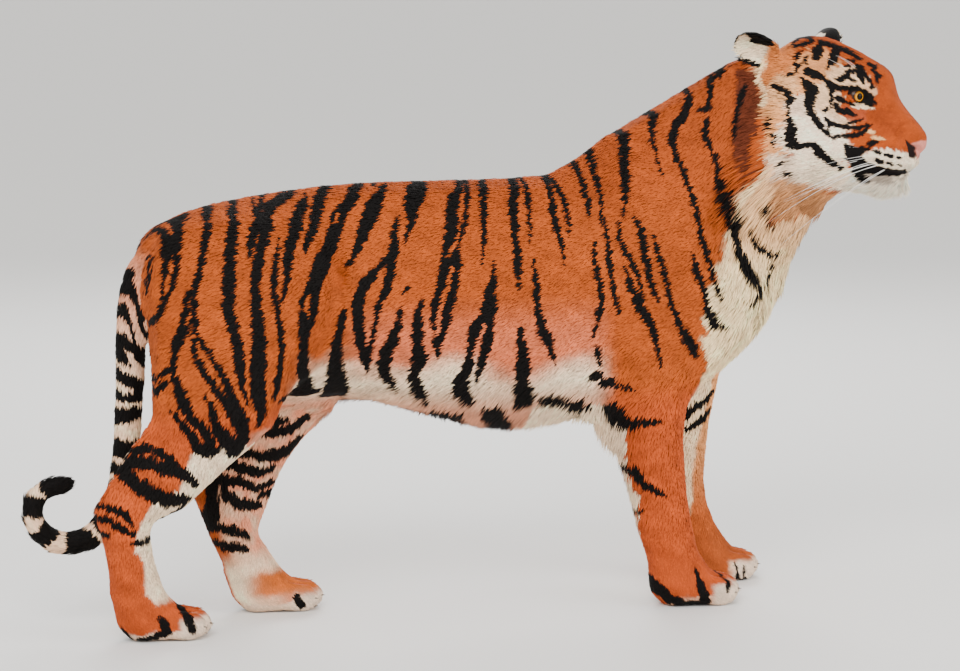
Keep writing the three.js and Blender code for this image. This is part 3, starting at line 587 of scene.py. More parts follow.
FAR_LEG_STRIPES = read_strokes("""
-46.5 41 1.2, -44 39.5 1.8, -41.5 38.8 1.6, -38 39.7 1.4, -34.5 42 .8
-43.5 42 .8, -41 41.4 1, -39.5 41.5 .2
-49.2 34.8 .8, -45.5 34.2 1.4, -42 34 2, -38.5 34.7 2, -35.3 37.2 .6
-53 32.5 1, -50.5 32.4 1.8, -47.5 31 1.4, -45 30.6 1.2, -41.8 31.6 .3
-55 29.5 2, -51.7 29 1.4, -49 28.6 1.2, -46 27 1.2, -41.7 28 .3
-45 25 .6, -42.5 25.6 1.2
-53 27.5 .5, -52.6 26 1.6, -50 24.2 1.8, -47.3 23.4 1.6, -45 23 1
-55.5 28 1.6, -55.5 24 1.6, -55.7 21.5 2.4, -56.5 18.5 1.8, -57.3 16.3 1.6
-55.5 19.5 .8, -53.5 19 1, -51 18.4 1.2, -49.3 17.6 .9, -48 16.6 .3
-58.5 16 .6, -55.5 15.6 1, -53 15.4 .6, -50.5 15.5 .3
-53 14.2 .2, -51 14.5 .5, -49 14.5 .9
-60.5 21.5 .6, -59 21.2 .8, -57.3 21.8 .2
-38.2 3.4 .8, -37 1.6 .8
52 38.2 1.6, 53.5 39.6 1, 56 40.8 .9, 59 43 .2
52 35 .4, 55 36.3 1, 57 37.6 .8, 58.7 39 .2
62.9 4.4 -.6, 63.4 3 -.4, 64 1 -.2
65.2 3.6 -.6, 65.4 1 -.3
61.5 .4 -.4, 66 .4 -.2
""")
FACE_STRIPES = read_strokes("""
.8 6.9 1.8, 2.6 6.5 1.8, 4.7 6 .8, 6.4 4.9 1.6, 8.5 4.5 1.1, 10.3 5 .7, 12 5.2 1, 13.6 4.2 1.6,
  14.8 3.3 1.8, 16 2.6 .7
13.2 3 1.4, 14.4 2.6 1.6, 15.3 2 .7
6.9 3.6 1.1, 7.3 1.8 .6, 7.6 .5 .3
6.8 -.2 .9, 6.9 -.3 .9
8.5 2.5 1, 10.2 2 .6, 11.9 1.5 .5
8.3 1.2 .7, 9.4 0 1, 10.8 .2 1.2, 12.7 -.5 .4
0 5.2 .5, 1.6 4.1 1.8, 2.9 2.9 2.8, 3 1.1 2.2, 3.4 -.6 1.6, 4.8 -2.1 1.4, 6 -3.4 1.5,
  7.8 -4.8 .7, 9.8 -6 .3
-5.3 2.8 .8, -3.7 2.4 1.1, -1.7 1.7 1.1, -.8 .7 1.6, -1 -.8 .7, -.5 -2.7 .9, .5 -4.4 2,
  .8 -6.3 2.4, 1.1 -8.1 2.2, 2.7 -8.8 1.2, 4.3 -8 1, 5.9 -7.8 1.2, 7 -9 2, 8.7 -10.2 1.6,
  10.1 -11.2 1.2, 11.7 -12.2 1
-4 -3.6 .6, -3.6 -4.9 1.1, -3.8 -6.3 .4
-2.6 -7.2 1, -2.2 -8.4 1.1, -2.3 -9.5 .4
-.4 -12.6 .5, -.7 -13.4 .4
1.2 -14 .6, 1.5 -15 1.2
-1.5 10.5 .4, -2.1 9.4 1.2, -2 8.5 .4
-2.6 8 .5, -1.6 7.3 .9, -.6 8.2 .3
-3 5.2 .6, -2 5.8 .7, -1.1 6.6 .3
-.2 9.6 .5, 0 8.5 .5
1.8 11.5 2.4, 1.9 10.4 2
5.5 11.4 2.2, 5.5 10 2, 5 8.6 .8
-4 11.5 .6, -3.5 13 .8, -1.5 13.6 .6, 0 12.8 .9, -1.5 12 1, -3.5 11.2 .6
1.5 13 .8, 4 12.9 .8, 7 12.4 .7, 9.5 11.6 .7, 11 11 .4
8.5 10.6 .4, 10 10.5 .6
8.3 9.2 .3, 9.3 9.5 .6
10.5 9.8 .6, 11.8 9.4 1, 12.5 9.2 .3
12.8 10.4 .5, 14.4 9.9 .8
14 9.4 .5, 15.8 8.2 .7
7 6.4 .4, 8.3 6.5 1.2, 9.6 7.6 1.4, 9.2 8.2 .8
9.4 8.3 .8, 11 8.8 .7, 12.2 7.8 1, 13 6.4 .4
10.2 6.9 .5, 11.4 6.6 .3
12 9 .5, 13.2 8 .7, 14.6 6.4 .6, 14.9 5.8 .8
15.2 8.4 .8, 15.6 6.9 .6
7.1 -1.7 .3, 8 -2.7 1, 10 -3 .9, 12 -3.1 .8, 14 -3 .8, 15.5 -2 .4
11.3 -2.5 .3, 12.8 -1.8 .5, 14.2 -1.1 .3
9.9 -5.3 .6, 11.8 -5 1, 13.6 -4.6 1.2, 15 -3.8 .9, 16.2 -1.9 .3
8.1 -3.1 .6, 8.3 -4.6 .3
11.8 -6.6 .4, 12.8 -7.6 1.6, 15.2 -7.8 1.6
13.5 -8.6 2.2, 14.6 -10 3, 15.6 -11 3.4, 16.4 -11.2 2.6
14.2 -11 1.6, 15.4 -12.6 2, 16.6 -13.6 1.6, 17.6 -13.8 1
16.5 -11.2 2, 18.5 -11.4 2, 20.7 -11.4 1.7, 23.2 -11.1 1.4, 25 -10.7 1
15.5 -7.0 .7, 16.8 -7.1 .7
18.0 -7.2 .7, 19.3 -7.4 .7
20.6 -7.6 .7, 21.8 -7.7 .7
23 -7.8 .5, 23.5 -7.8 .45
18.8 -9.1 .7, 20.1 -9.3 .7
21.3 -9.3 .6, 22.4 -9.4 .6
23.4 -9.3 .3, 24 -9.3 .3
19.4 -10.5 .45, 20.7 -10.6 .45
17 -5.8 1.4, 18.4 -5.2 .6
""")
FAR_NECK_STRIPES = read_strokes("""
63.5 106 .6, 64.2 101 1.5, 63.6 96 1.8, 64.2 91 1.3, 65 86 .3
68 104 .4, 69 99.5 1.3, 68.8 95 1.5, 69.6 90 1, 70.2 86 .2
66 84 .3, 67.4 80.5 1.2, 69.5 77.6 .4
""")
DARK_SLIVERS = read_strokes("""
-8.8 76.5 .4, -9.8 73 .9, -11.5 69.5 .9, -12.2 66 .9, -12.5 62 .5
-2.7 64 .7, -4.9 57.7 .5
""")
NECK_SHADE = read_strokes("""
59 114 3.6, 58.2 109 4.6, 57 103.8 5.6, 55.8 98.6 4.6, 55.6 95 2.6, 55.4 91.3 .4
""")
GAPS = read_strokes("""
-31.8 87 .7, -32.6 85.3 .7
-40.6 71.5 .6, -40.9 69.5 1.2, -40.8 67 .3
""")


UNMARKED = -9.0


def ink(strokes, across, up, thicken=0.0, steep=(1.0, 1.0)):
    """How deep each place lies inside the strokes, in centimetres.

    Where the skin turns away, steep tells how much further apart places lie on
    it, along and up, than their distance seen square on."""
    depth = np.full(len(across), UNMARKED)
    for stroke in strokes:
        reach = stroke[:, 2].max() / 2 + 1.5
        near = np.nonzero(
            (across > stroke[:, 0].min() - reach) & (across < stroke[:, 0].max() + reach)
            & (up > stroke[:, 1].min() - reach) & (up < stroke[:, 1].max() + reach)
        )[0]
        if len(near) == 0:
            continue
        a, b = across[near], up[near]
        wide, tall = (part[near] if np.ndim(part) else part for part in steep)
        best = depth[near]
        for (x0, z0, w0), (x1, z1, w1) in zip(stroke[:-1], stroke[1:]):
            run, rise = x1 - x0, z1 - z0
            share = np.clip(
                ((a - x0) * run + (b - z0) * rise) / (run * run + rise * rise + 1e-9), 0.0, 1.0)
            gap = np.hypot((a - x0 - share * run) * wide, (b - z0 - share * rise) * tall)
            best = np.maximum(best, (w0 + share * (w1 - w0)) / 2 + thicken - gap)
        depth[near] = best
    return depth


def ripple(points, size, seed):
    """Smooth wavering between about -1 and 1, with the given size in metres."""
    dice = np.random.default_rng(seed)
    total = np.zeros(len(points))
    for _ in range(7):
        direction = dice.normal(size=3)
        direction *= (0.7 + 0.8 * dice.random()) / np.linalg.norm(direction)
        total += np.sin(points @ direction * (2 * math.pi / size) + dice.random() * 2 * math.pi)
    return total / 2.6


NEAR_HIND = np.array([(-48.1, 78), (-55.1, 48), (-67.9, 34.5), (-78.3, 27.4), (-75.3, 8), (-68.2, 4.4)])
FAR_HIND = np.array([(-45.1, 78), (-35.3, 46.5), (-45.5, 33), (-53.4, 23.6), (-46.7, 8.2), (-39.8, 4.4)])
NEAR_FORE = np.array([(33.3, 70), (33.3, 46.2), (39.2, 20), (42.6, 8.2), (48.4, 4.6)])
FAR_FORE = np.array([(44, 70), (51.9, 45.5), (51.9, 19), (56.2, 8.2), (61.9, 4.6)])


def pose_like(across, up, own, other):
    """Where a place on one leg lies on another leg that is bent otherwise."""
    weights = 0.0
    new_across = 0.0
    new_up = 0.0
    for (a0, a1), (b0, b1) in zip(zip(own[:-1], own[1:]), zip(other[:-1], other[1:])):
        run = a1 - a0
        share = np.clip(((across - a0[0]) * run[0] + (up - a0[1]) * run[1]) / (run @ run), 0.0, 1.0)
        gap = np.hypot(across - a0[0] - share * run[0], up - a0[1] - share * run[1])
        weight = 1.0 / (gap + 0.6) ** 4
        turn = complex(*(b1 - b0)) / complex(*run)
        place = (across - a0[0] + 1j * (up - a0[1])) * turn
        new_across = new_across + weight * (place.real + b0[0])
        new_up = new_up + weight * (place.imag + b0[1])
        weights = weights + weight
    return new_across / weights, new_up / weights


TAIL_Y = 0.0127
TAIL_LINE = np.array([
    (-0.684, 0.806), (-0.734, 0.738), (-0.753, 0.640), (-0.760, 0.510), (-0.770, 0.380),
    (-0.796, 0.262), (-0.850, 0.196), (-0.920, 0.192), (-0.966, 0.240), (-0.958, 0.300),
    (-0.900, 0.314),
]) + (0.0211072, 0.0)
# each ring's place along the tail and half width at its back edge and its front edge
TAIL_RINGS = (
    (0.097, 0.020, 0.192, 0.012), (0.152, 0.013, 0.262, 0.004), (0.212, 0.019, 0.246, 0.016),
    (0.243, 0.013, 0.282, -0.012), (0.285, 0.013, 0.311, 0.013), (0.328, 0.014, 0.330, 0.014),
    (0.372, 0.020, 0.365, 0.006), (0.440, 0.022, 0.438, 0.021), (0.488, 0.013, 0.486, 0.012),
    (0.531, 0.022, 0.528, 0.022), (0.600, 0.027, 0.600, 0.027), (0.672, 0.033, 0.672, 0.033),
    (0.752, 0.023, 0.752, 0.023), (0.818, 0.024, 0.818, 0.024), (0.905, 0.046, 0.905, 0.046),
)


def along_tail(points):
    """How far along the tail each place is, how far off its line, the way it runs, and how far behind."""
    best = np.full(len(points), 9.0)
    reach = np.zeros(len(points))
    aside = np.zeros(len(points))
    run = np.zeros((len(points), 3))
    start = 0.0
    for (x0, z0), (x1, z1) in zip(TAIL_LINE[:-1], TAIL_LINE[1:]):
        dx, dz = x1 - x0, z1 - z0
        length = math.hypot(dx, dz)
        share = np.clip(((points[:, 0] - x0) * dx + (points[:, 2] - z0) * dz) / length ** 2, 0.0, 1.0)
        off = np.sqrt((points[:, 0] - x0 - share * dx) ** 2 + (points[:, 1] - TAIL_Y) ** 2
                      + (points[:, 2] - z0 - share * dz) ** 2)
        closer = off < best
        best = np.where(closer, off, best)
        reach = np.where(closer, start + share * length, reach)
        run[closer] = (dx / length, 0.0, dz / length)
        offset = ((points[:, 2] - z0) * dx - (points[:, 0] - x0) * dz) / length
        aside = np.where(closer, offset, aside)
        start += length
    return reach, best, run, aside


def on_tail(points, off, top):
    """True on the free length of the tail, up to the height top."""
    behind = (points[:, 0] < -0.66) & (points[:, 2] < top)
    return (off < 0.058) & (np.abs(points[:, 1] - TAIL_Y) < 0.055) & behind


def tone(red, green, blue):
    """A colour as eyes and screens count it, turned into light."""
    values = np.array([red, green, blue]) / 255.0
    return np.where(values <= 0.04045, values / 12.92, ((values + 0.055) / 1.055) ** 2.4)


BLACK = tone(12, 9, 8)
ORANGE = tone(167, 75, 25)
BACK_ORANGE = tone(160, 70, 24)
FLANK_PINK = tone(208, 108, 70)
CREAM = tone(250, 222, 186)
WHITE = tone(246, 228, 206)
CHEST_BEIGE = tone(250, 216, 164)
THROAT_PEACH = tone(240, 182, 128)
# tan of the painted shade under the jaw
THROAT_SHADE_TAN = tone(196, 136, 88)
# dark brown of the painted shade behind the ruff
NECK_SHADE_BROWN = tone(90, 40, 22)
LEG_RED = tone(190, 78, 34)
FORE_SOLE = tone(216, 164, 132)
HIND_SOLE = tone(228, 196, 168)
TOE_BEIGE = tone(230, 204, 180)
SHIN_PINK = tone(220, 138, 104)
FAR_HINDPAW = tone(190, 96, 40)
FOREARM_BEIGE = tone(248, 212, 170)
FOREARM_PEACH = tone(222, 148, 92)
WRIST_ORANGE = tone(184, 88, 38)
FAR_FOREPAW = tone(172, 82, 36)
TAIL_ROOT = tone(220, 144, 110)
TAIL_PINK = tone(253, 209, 172)
EAR_DARK = tone(74, 38, 26)
FACE_ORANGE = tone(160, 67, 20)
BRIDGE_ORANGE = tone(160, 68, 22)
NOSE_PINK = tone(206, 128, 112)
# forward, up, half width, half height in centimetres, strength, colour
FACE_TONES = (
    (-7.0, 4.0, 6.0, 10.0, 0.9, tone(200, 116, 60)),
    (3.0, 6.5, 6.0, 5.5, 0.85, tone(222, 152, 96)),
    (5.5, 1.5, 4.2, 4.0, 0.85, tone(234, 194, 152)),
    (-3.0, 1.0, 3.6, 5.0, 0.8, tone(228, 170, 118)),
    (0.9, -0.8, 3.0, 2.8, 0.9, tone(236, 204, 174)),
    (8.0, -2.6, 5.0, 2.2, 0.8, tone(236, 200, 160)),
    (-3.5, -8.0, 5.0, 8.0, 0.9, tone(232, 156, 96)),
    (5.3, -6.5, 7.2, 5.5, 1.0, tone(254, 224, 194)),
    (11.2, -8.4, 2.8, 2.8, 1.0, tone(254, 224, 194)),
    (1.0, -14.5, 7.0, 4.0, 0.9, tone(232, 205, 176)),
    (9.5, 7.2, 4.6, 2.4, 1.0, tone(238, 190, 146)),
    (13.5, 5.0, 2.6, 1.8, 0.8, tone(238, 190, 146)),
    (11.8, 0.2, 3.0, 1.2, 0.85, tone(160, 70, 38)),
    (21.5, -9.3, 6.6, 3.0, 1.0, tone(248, 224, 194)),
    (19.0, -15.2, 9.0, 4.2, 1.0, tone(248, 230, 206)),
    # painted shade under the lower lip, in grey
    (20.0, -12.8, 4.5, 1.2, 0.7, tone(140, 124, 112)),
    (25.5, -12.2, 2.8, 2.6, 1.0, tone(248, 228, 202)),
    (8.0, -13.0, 6.0, 4.0, 0.95, tone(246, 218, 186)),
    (18.4, -1.2, 4.4, 3.0, 0.6, tone(138, 56, 18)),
    (12.8, -0.9, 2.2, 0.9, 0.85, tone(160, 70, 38)),
    (13.4, 1.5, 2.4, 0.7, 0.95, tone(248, 216, 176)),
    (16.6, -3.4, 1.0, 0.5, 0.9, tone(236, 184, 124)),
    (18.4, -4.4, 1.6, 0.4, 0.9, tone(236, 184, 124)),
    # painted shade under the jaw, in tan
    (2.0, -20.0, 10.0, 4.5, 0.95, tone(198, 136, 88)),
)


def mixed(under, over, share):
    """Rows with others laid over them, as thick as share says for each."""
    return under * (1 - share[:, None]) + over * share[:, None]


def lay_tones(hide, forward, up, where):
    """The face's soft patches, one over the other, with wavering edges."""
    waver = 0.07 * ripple(hide.points, 0.016, 14) + 0.05 * ripple(hide.points, 0.007, 15)
    for at_forward, at_up, wide, high, strength, colour in FACE_TONES:
        gap = np.hypot((forward - at_forward) / wide, (up - at_up) / high) + waver
        hide.lay(colour, where * strength * (1.0 - ramp(gap, 0.84, 1.08)))


class Hide:
    """Places on the hide in every frame that the markings use, with their colour so far.

    x, y and z are centimetres in the room, side_x and side_z the place on the near
    side that a place on either side is marked like, and head the head's own frame."""

    def __init__(self, points, normals):
        self.points = points
        self.normals = normals
        self.x = points[:, 0] * 100 - 0.18 + 0.18 * ripple(points, 0.017, 3)
        self.y = points[:, 1] * 100
        self.z = points[:, 2] * 100 + 0.18 * ripple(points, 0.017, 4)
        self.head = to_head(points) * 100
        self.broad = ripple(points, 0.23, 7)
        self.fine = ripple(points, 0.045, 8)
        x, z = self.x, self.z
        far = ramp(self.y, 0.5, 7.0)
        leg_share = 1.0 - ramp(z, 50.0, 68.0)
        hind_x, hind_z = pose_like(x, z, FAR_HIND, NEAR_HIND)
        fore_x, fore_z = pose_like(x, z, FAR_FORE, NEAR_FORE)
        leg_x = np.where(x < 5.0, hind_x, fore_x)
        leg_z = np.where(x < 5.0, hind_z, fore_z)
        shift_x = 2.6 * np.sin(z * 0.083 + 0.9) + 1.4 * np.sin(x * 0.11 + z * 0.05)
        shift_z = 1.7 * np.sin(x * 0.13 + 1.0)
        self.side_x = x + far * ((1 - leg_share) * shift_x + leg_share * (leg_x - x))
        self.side_z = z + far * ((1 - leg_share) * shift_z + leg_share * (leg_z - z))
        self.colour = np.tile(ORANGE, (len(points), 1))
        self.depth = np.full(len(points), UNMARKED)

    def lay(self, over, share):
        """Lay a colour over what is there, as thick as share says."""
        self.colour = mixed(self.colour, over, np.clip(share, 0.0, 1.0))

    def ink(self, where, strokes, across, up, thicken=0.0, steep=(1.0, 1.0)):
        """Add the strokes' black where the mask says."""
        laid = ink(strokes, across[where], up[where], thicken, steep)
        self.depth[where] = np.maximum(self.depth[where], laid)


def colour_trunk(hide):
    """Orange back, pink flank and cream belly."""
    low = ramp(71.0 - hide.side_z, 0.0, 12.0)
    pale = ramp(58.0 - hide.side_z + 2.5 * hide.broad, 0.0, 8.0)
    hide.lay(BACK_ORANGE, 0.8 * ramp(hide.side_z, 82.0, 96.0))
    trunk = ramp(hide.side_x, -34.0, -26.0) * (1 - ramp(hide.side_x, 20.0, 27.0))
    hide.lay(FLANK_PINK, 0.95 * trunk * low)
    hide.lay(CREAM, trunk * pale)
    under = ramp(-hide.normals[:, 2], 0.35, 0.75) * ramp(hide.side_z, 34.0, 42.0)
    hide.lay(CREAM, under * (1 - ramp(hide.head[:, 0], -9, -3)))


def colour_legs(hide):
    """Red-orange outside, cream inside."""
    out_y = hide.normals[:, 1]
    inner = np.where(hide.y < 0, ramp(out_y, 0.1, 0.5), ramp(-out_y, 0.1, 0.5))
    legs = 1.0 - ramp(hide.side_z, 44.0, 52.0)
    hide.lay(LEG_RED, 0.7 * legs)
    hide.lay(CREAM, legs * inner * ramp(np.abs(hide.y), 3.0, 6.0))


def colour_chest(hide):
    """Beige chest, peach throat and a tan patch of painted shade under the jaw."""
    x, y, z = hide.x, hide.y, hide.z
    edge = np.interp(z, [44, 52, 60, 70, 80, 90, 96], [44.5, 45.2, 45.6, 46.8, 50.5, 54.5, 60.0])
    edge = edge + 0.9 * hide.broad + 0.9 * hide.fine + 15.0 * ramp(y, 0.0, 8.0) * ramp(z, 72.0, 90.0)
    hide.lay(CHEST_BEIGE, ramp(x, edge - 0.8, edge + 1.0) * ramp(z, 44.0, 52.0))
    throat = ramp(z, 69.0, 82.0) * ramp(x, edge, edge + 3.0)
    hide.lay(THROAT_PEACH, 0.9 * throat)
    # painted shade under the jaw on the near side, in tan
    patch = np.hypot((x - 70.0) / 8.5, (z - 91.0) / 5.0) + 0.12 * hide.fine
    hide.lay(THROAT_SHADE_TAN, 0.95 * (1.0 - ramp(patch, 0.8, 1.15)) * (1 - ramp(y, -2.0, 3.0)))


def colour_leg_edges(hide):
    """Cream behind the forearm and in front of the hock, pale soles and toes."""
    x, y, z = hide.x, hide.y, hide.z
    behind = np.interp(hide.side_z, [5, 15, 25, 30, 40, 46], [34, 34.5, 33, 31, 29, 26])
    fringe = (hide.side_x < behind) & (hide.side_x > 10)
    hide.lay(CREAM, 0.9 * fringe * (hide.side_z < 46))
    front = np.interp(
        hide.side_z, [8, 10.5, 17, 20, 25, 30.5, 33, 36, 40.4, 42.5],
        [-72.5, -74.8, -75.1, -77.2, -76.2, -73.3, -68, -67.4, -65.9, -58])
    hock = ramp(hide.side_x - front, 0.0, 0.9) * (hide.side_z < 41.5) * (hide.side_x < -40)
    hide.lay(CREAM, 0.95 * hock * ramp(hide.side_z, 7.5, 9.5))
    hide.lay(FORE_SOLE, ramp(3.2 - z + 0.4 * hide.fine, 0.0, 1.0) * (x > 40.0))
    hide.lay(HIND_SOLE, ramp(2.6 - z + 0.5 * hide.fine, 0.0, 1.2) * (x < 5.0))
    for paw_x, paw_y in PAWS:
        beyond = x - 100 * paw_x
        at_toes = ramp(beyond, 0.0, 1.5) * (np.abs(y - 100 * paw_y) < 9.0) * (x < 100 * paw_x + 14)
        hide.lay(TOE_BEIGE, at_toes * ramp(5.6 - z, 0.0, 1.6))


def colour_far_legs(hide):
    """The inner face of the far legs: pink shin, beige forearm with a peach front edge."""
    x, z = hide.x, hide.z
    inner = ramp(hide.y, 2.0, 5.0) * ramp(-hide.normals[:, 1], -0.1, 0.25) * (z < 50)
    shin = inner * (x < 5.0)
    hide.lay(SHIN_PINK, shin * ramp(z, 8.0, 16.0) * (0.80 + 0.25 * hide.fine))
    behind = np.interp(z, [8, 15, 22, 30, 40], [-49.5, -52.6, -55.6, -54.5, -51])
    hide.lay(ORANGE, shin * ramp(behind - x, -1.0, 1.2) * ramp(z, 9.0, 14.0))
    hide.lay(FAR_HINDPAW, shin * (1 - ramp(z, 8.0, 11.0)) * ramp(x, -50.0, -45.0) * ramp(z, 3.0, 5.0))
    forearm = inner * (x > 5.0)
    hide.lay(FOREARM_BEIGE, forearm * ramp(z, 13.0, 18.0))
    edge = np.interp(
        z, [9, 19, 24, 28, 32, 37, 41, 45, 51],
        [50, 53.3, 53.3, 53.8, 54.6, 56.1, 56.9, 58, 58.9])
    strip = ramp(x - edge, -0.5, 0.9)
    hide.lay(FOREARM_PEACH, forearm * strip * ramp(z, 8.0, 14.0))
    hide.lay(WRIST_ORANGE, forearm * strip * ramp(z, 8.0, 10.0) * (1 - ramp(z, 14.0, 34.0)))
    toes = ramp(x, 61.0, 62.6) * (1 - ramp(z, 3.8, 5.4))
    hide.lay(FAR_FOREPAW, forearm * (1 - ramp(z, 10.0, 13.0)) * (1 - toes))


def mark_tail(hide):
    """Pink root, pale tail and black rings. Returns which places are tail, and their rings."""
    reach, off, _, aside = along_tail(hide.points)
    clear_of_rump = (hide.z < 76.0) | (hide.x < -69.5)
    tail = (off < 0.062) & (np.abs(hide.y - 100 * TAIL_Y) < 5.8) & clear_of_rump & (hide.x < -62.0)
    hide.lay(TAIL_ROOT, tail * ramp(reach, 0.02, 0.08) * 0.9)
    hide.lay(TAIL_PINK, tail * ramp(reach, 0.03, 0.12) * ramp(reach, 0.10, 0.28) * 0.95)
    rings = np.full(len(reach), UNMARKED)
    wavered = reach + 0.004 * ripple(hide.points, 0.06, 9)
    front_share = ramp(aside, -0.030, 0.030)
    for back, back_half, front, front_half in TAIL_RINGS:
        middle = back + (front - back) * front_share
        half = back_half + (front_half - back_half) * front_share
        rings = np.maximum(rings, (half - np.abs(wavered - middle)) * 100)
    return tail & (reach > 0.02), tail, rings


def stripe_body(hide, tail):
    """Black stripes of neck, trunk, rump and legs, and a dark brown band of painted shade on the neck
    behind the ruff.
    """
    x, y, z = hide.x, hide.y, hide.z
    off_head = (hide.head[:, 0] < -6.0) | (z < 88.0)
    here = off_head & ~tail
    across, up = hide.side_x[here], hide.side_z[here]
    normals = hide.normals[here]
    slope = 1.0 / np.maximum(np.abs(normals[:, 1]), 0.22)
    rear = np.clip(0.95 - 0.32 * normals[:, 0] * slope, 0.8, 2.4)
    top = np.clip(np.hypot(0.98 + 0.14 * normals[:, 2] * slope, 0.30 * normals[:, 2] * slope), 1.0, 2.2)
    stripes = ink(NECK_STRIPES + TRUNK_STRIPES + RUMP_STRIPES, across, up, 0.16, (rear, top))
    clear = np.maximum(ink(DARK_SLIVERS, across, up), ink(GAPS, across, up))
    hide.depth[here] = np.where(clear > 0, -1.0, stripes)
    inner_far = (y > 2.5) & (hide.normals[:, 1] < 0.1) & (z < 48.0)
    hide.ink(here & ~inner_far & (z < 52.0), LIMB_STRIPES, hide.side_x, hide.side_z, 0.30)
    hide.depth[inner_far] = ink(FAR_LEG_STRIPES, x[inner_far], z[inner_far], 0.50)
    hide.ink(here & (y > 2.0) & (x > 60.0), FAR_NECK_STRIPES, x, z, 0.16)
    on_chest = here & (x > 55.0) & (z > 64.0) & (z < 98.0)
    hide.ink(on_chest, NECK_STRIPES, hide.side_x, hide.side_z, 0.45)
    # painted shade: a dark brown band where the ruff overhangs the neck
    hide.lay(NECK_SHADE_BROWN, ramp(ink(NECK_SHADE, hide.side_x, hide.side_z), -0.2, 0.5) * off_head)


def mark_face(hide):
    """Colours of the face, its stripes, and the black round the eyes."""
    head, points = hide.head, hide.points
    forward = head[:, 0] + 0.12 * ripple(points, 0.012, 11)
    up = head[:, 2] + 0.12 * ripple(points, 0.012, 12)
    ruff = np.interp(head[:, 2], [-17.0, -12.0, -5.0, 0.0, 4.0], [-1.5, -4.6, -6.0, -5.6, -9.0])
    ruff = ruff + 0.5 * hide.fine
    face = ramp(head[:, 0], ruff, ruff + 1.4) * (hide.z > 84.0)
    hide.lay(FACE_ORANGE, face)
    lay_tones(hide, forward, up, face)
    bridge = (1 - ramp(np.abs(head[:, 1]), 2.6, 4.0)) * ramp(head[:, 0], 13.5, 15.0)
    hide.lay(BRIDGE_ORANGE, face * bridge * ramp(head[:, 2], -7.0, -5.0))
    mottle = ripple(points, 0.008, 17) * 0.6 + ripple(points, 0.020, 18) * 0.4
    hide.colour = hide.colour * (1.0 + 0.10 * face * mottle)[:, None]
    on_face = face > 0.5
    hide.depth[on_face] = ink(FACE_STRIPES, forward[on_face], up[on_face], 0.10)
    for side in (-1.0, 1.0):
        local = eye_frame(head / 100, side)
        ring = (slit(local) + 0.0060 + 0.0034 * ramp(local[:, 1], -0.004, 0.006)) * 100
        close = by_the_eye(local, 2.2) & on_face
        hide.depth = np.where(close, np.maximum(hide.depth, ring), hide.depth)


def mark_ears(hide):
    """Cream inside, black on the rim and the back, with a white spot behind."""
    for root, tip, facing in EARS:
        height, outward, aside = from_ear(hide.head / 100, root, tip)
        on_ear = (height > 0.018) & (height < 0.15) & (aside < 0.056) & (outward[:, 2] > -0.040)
        front = ((hide.normals @ HEAD_TURN) @ facing) > 0.0
        hide.lay(CREAM, on_ear * 1.0 * front)
        hide.lay(EAR_DARK, on_ear * 1.0 * ~front)
        rim = np.maximum(height - 0.088, aside - 0.036) * 100
        upper = (outward[:, 2] - 0.010) * 100 - 0.2 * np.abs(height - 0.05) * 100 + 0.2 * hide.fine
        rim = np.maximum(rim, upper)
        spot = ~front & (((height - 0.052) / 0.017) ** 2 + (aside / 0.027) ** 2 < 1 + 0.3 * hide.fine)
        hide.lay(WHITE, on_ear * 1.0 * spot)
        behind = np.where(~front & ~spot, 0.6, -1.0)
        hide.depth = np.where(on_ear, np.where(front, rim, behind), hide.depth)


def marks(points, normals):
    """The coat's colour at each place, black stripes and all."""
    hide = Hide(points, normals)
    colour_trunk(hide)
    colour_legs(hide)
    colour_chest(hide)
    colour_leg_edges(hide)
    colour_far_legs(hide)
    ringed, tail, rings = mark_tail(hide)
    stripe_body(hide, tail)
    mark_face(hide)
    hide.depth[ringed] = rings[ringed]
    mark_ears(hide)
    colour = hide.colour * (1.0 + 0.10 * hide.fine[:, None] + 0.05 * hide.broad[:, None])
    black = ramp(hide.depth, -0.10, 0.10)
    return np.clip(mixed(colour, BLACK, black), 0.0, 1.0)


def nose_leather(head):
    """Above 0 on the bare pink leather of the nose."""
    half = np.interp(
        head[:, 2], [-0.088, -0.076, -0.060, -0.046, -0.036], [0.010, 0.024, 0.032, 0.033, 0.024])
    inside = np.minimum(half - np.abs(head[:, 1]), np.minimum(head[:, 2] + 0.088, -0.036 - head[:, 2]))
    return np.minimum(inside, head[:, 0] - 0.221)


def nostril(head):
    """Below 1 in the dark comma of each nostril, from its opening back along the wing."""
    along = (head[:, 0] - 0.243) * 0.68 - (head[:, 2] + 0.060) * 0.73
    above = (head[:, 0] - 0.243) * 0.73 + (head[:, 2] + 0.060) * 0.68
    wing = np.hypot(along / 0.0270, (above - 0.002) / (0.0100 + 0.10 * np.clip(along, 0, 0.02)))
    wing = np.minimum(wing, np.hypot((head[:, 0] - 0.2430) / 0.0180, (head[:, 2] + 0.0590) / 0.0120))
    return np.where((np.abs(head[:, 1]) > 0.010) & (np.abs(head[:, 1]) < 0.040), wing, 9.0)


def bare_parts(points, colour):
    """Colours of lids, lips and nose on the hide."""
    head = to_head(points)
    up_there = points[:, 2] > MUZZLE_BOTTOM
    pink = NOSE_PINK * (1.0 + 0.06 * ripple(points, 0.006, 31)[:, None])
    colour = mixed(colour, pink, ramp(nose_leather(head), 0.0, 0.003) * up_there)
    # painted shade: near black in the hollow of each nostril
    colour = mixed(colour, tone(26, 14, 12), (1 - ramp(nostril(head), 0.8, 1.05)) * up_there)
    for side in (-1.0, 1.0):
        local = eye_frame(head, side)
        rim = ramp(slit(local), -0.0052, -0.0030) * by_the_eye(local, 1.7)
        colour = mixed(colour, tone(20, 14, 12), rim)
    lips = (1 - ramp(lip_line(head), 0.0025, 0.0045)) * (head[:, 0] > 0.11) * up_there
    return mixed(colour, tone(22, 15, 14), lips)


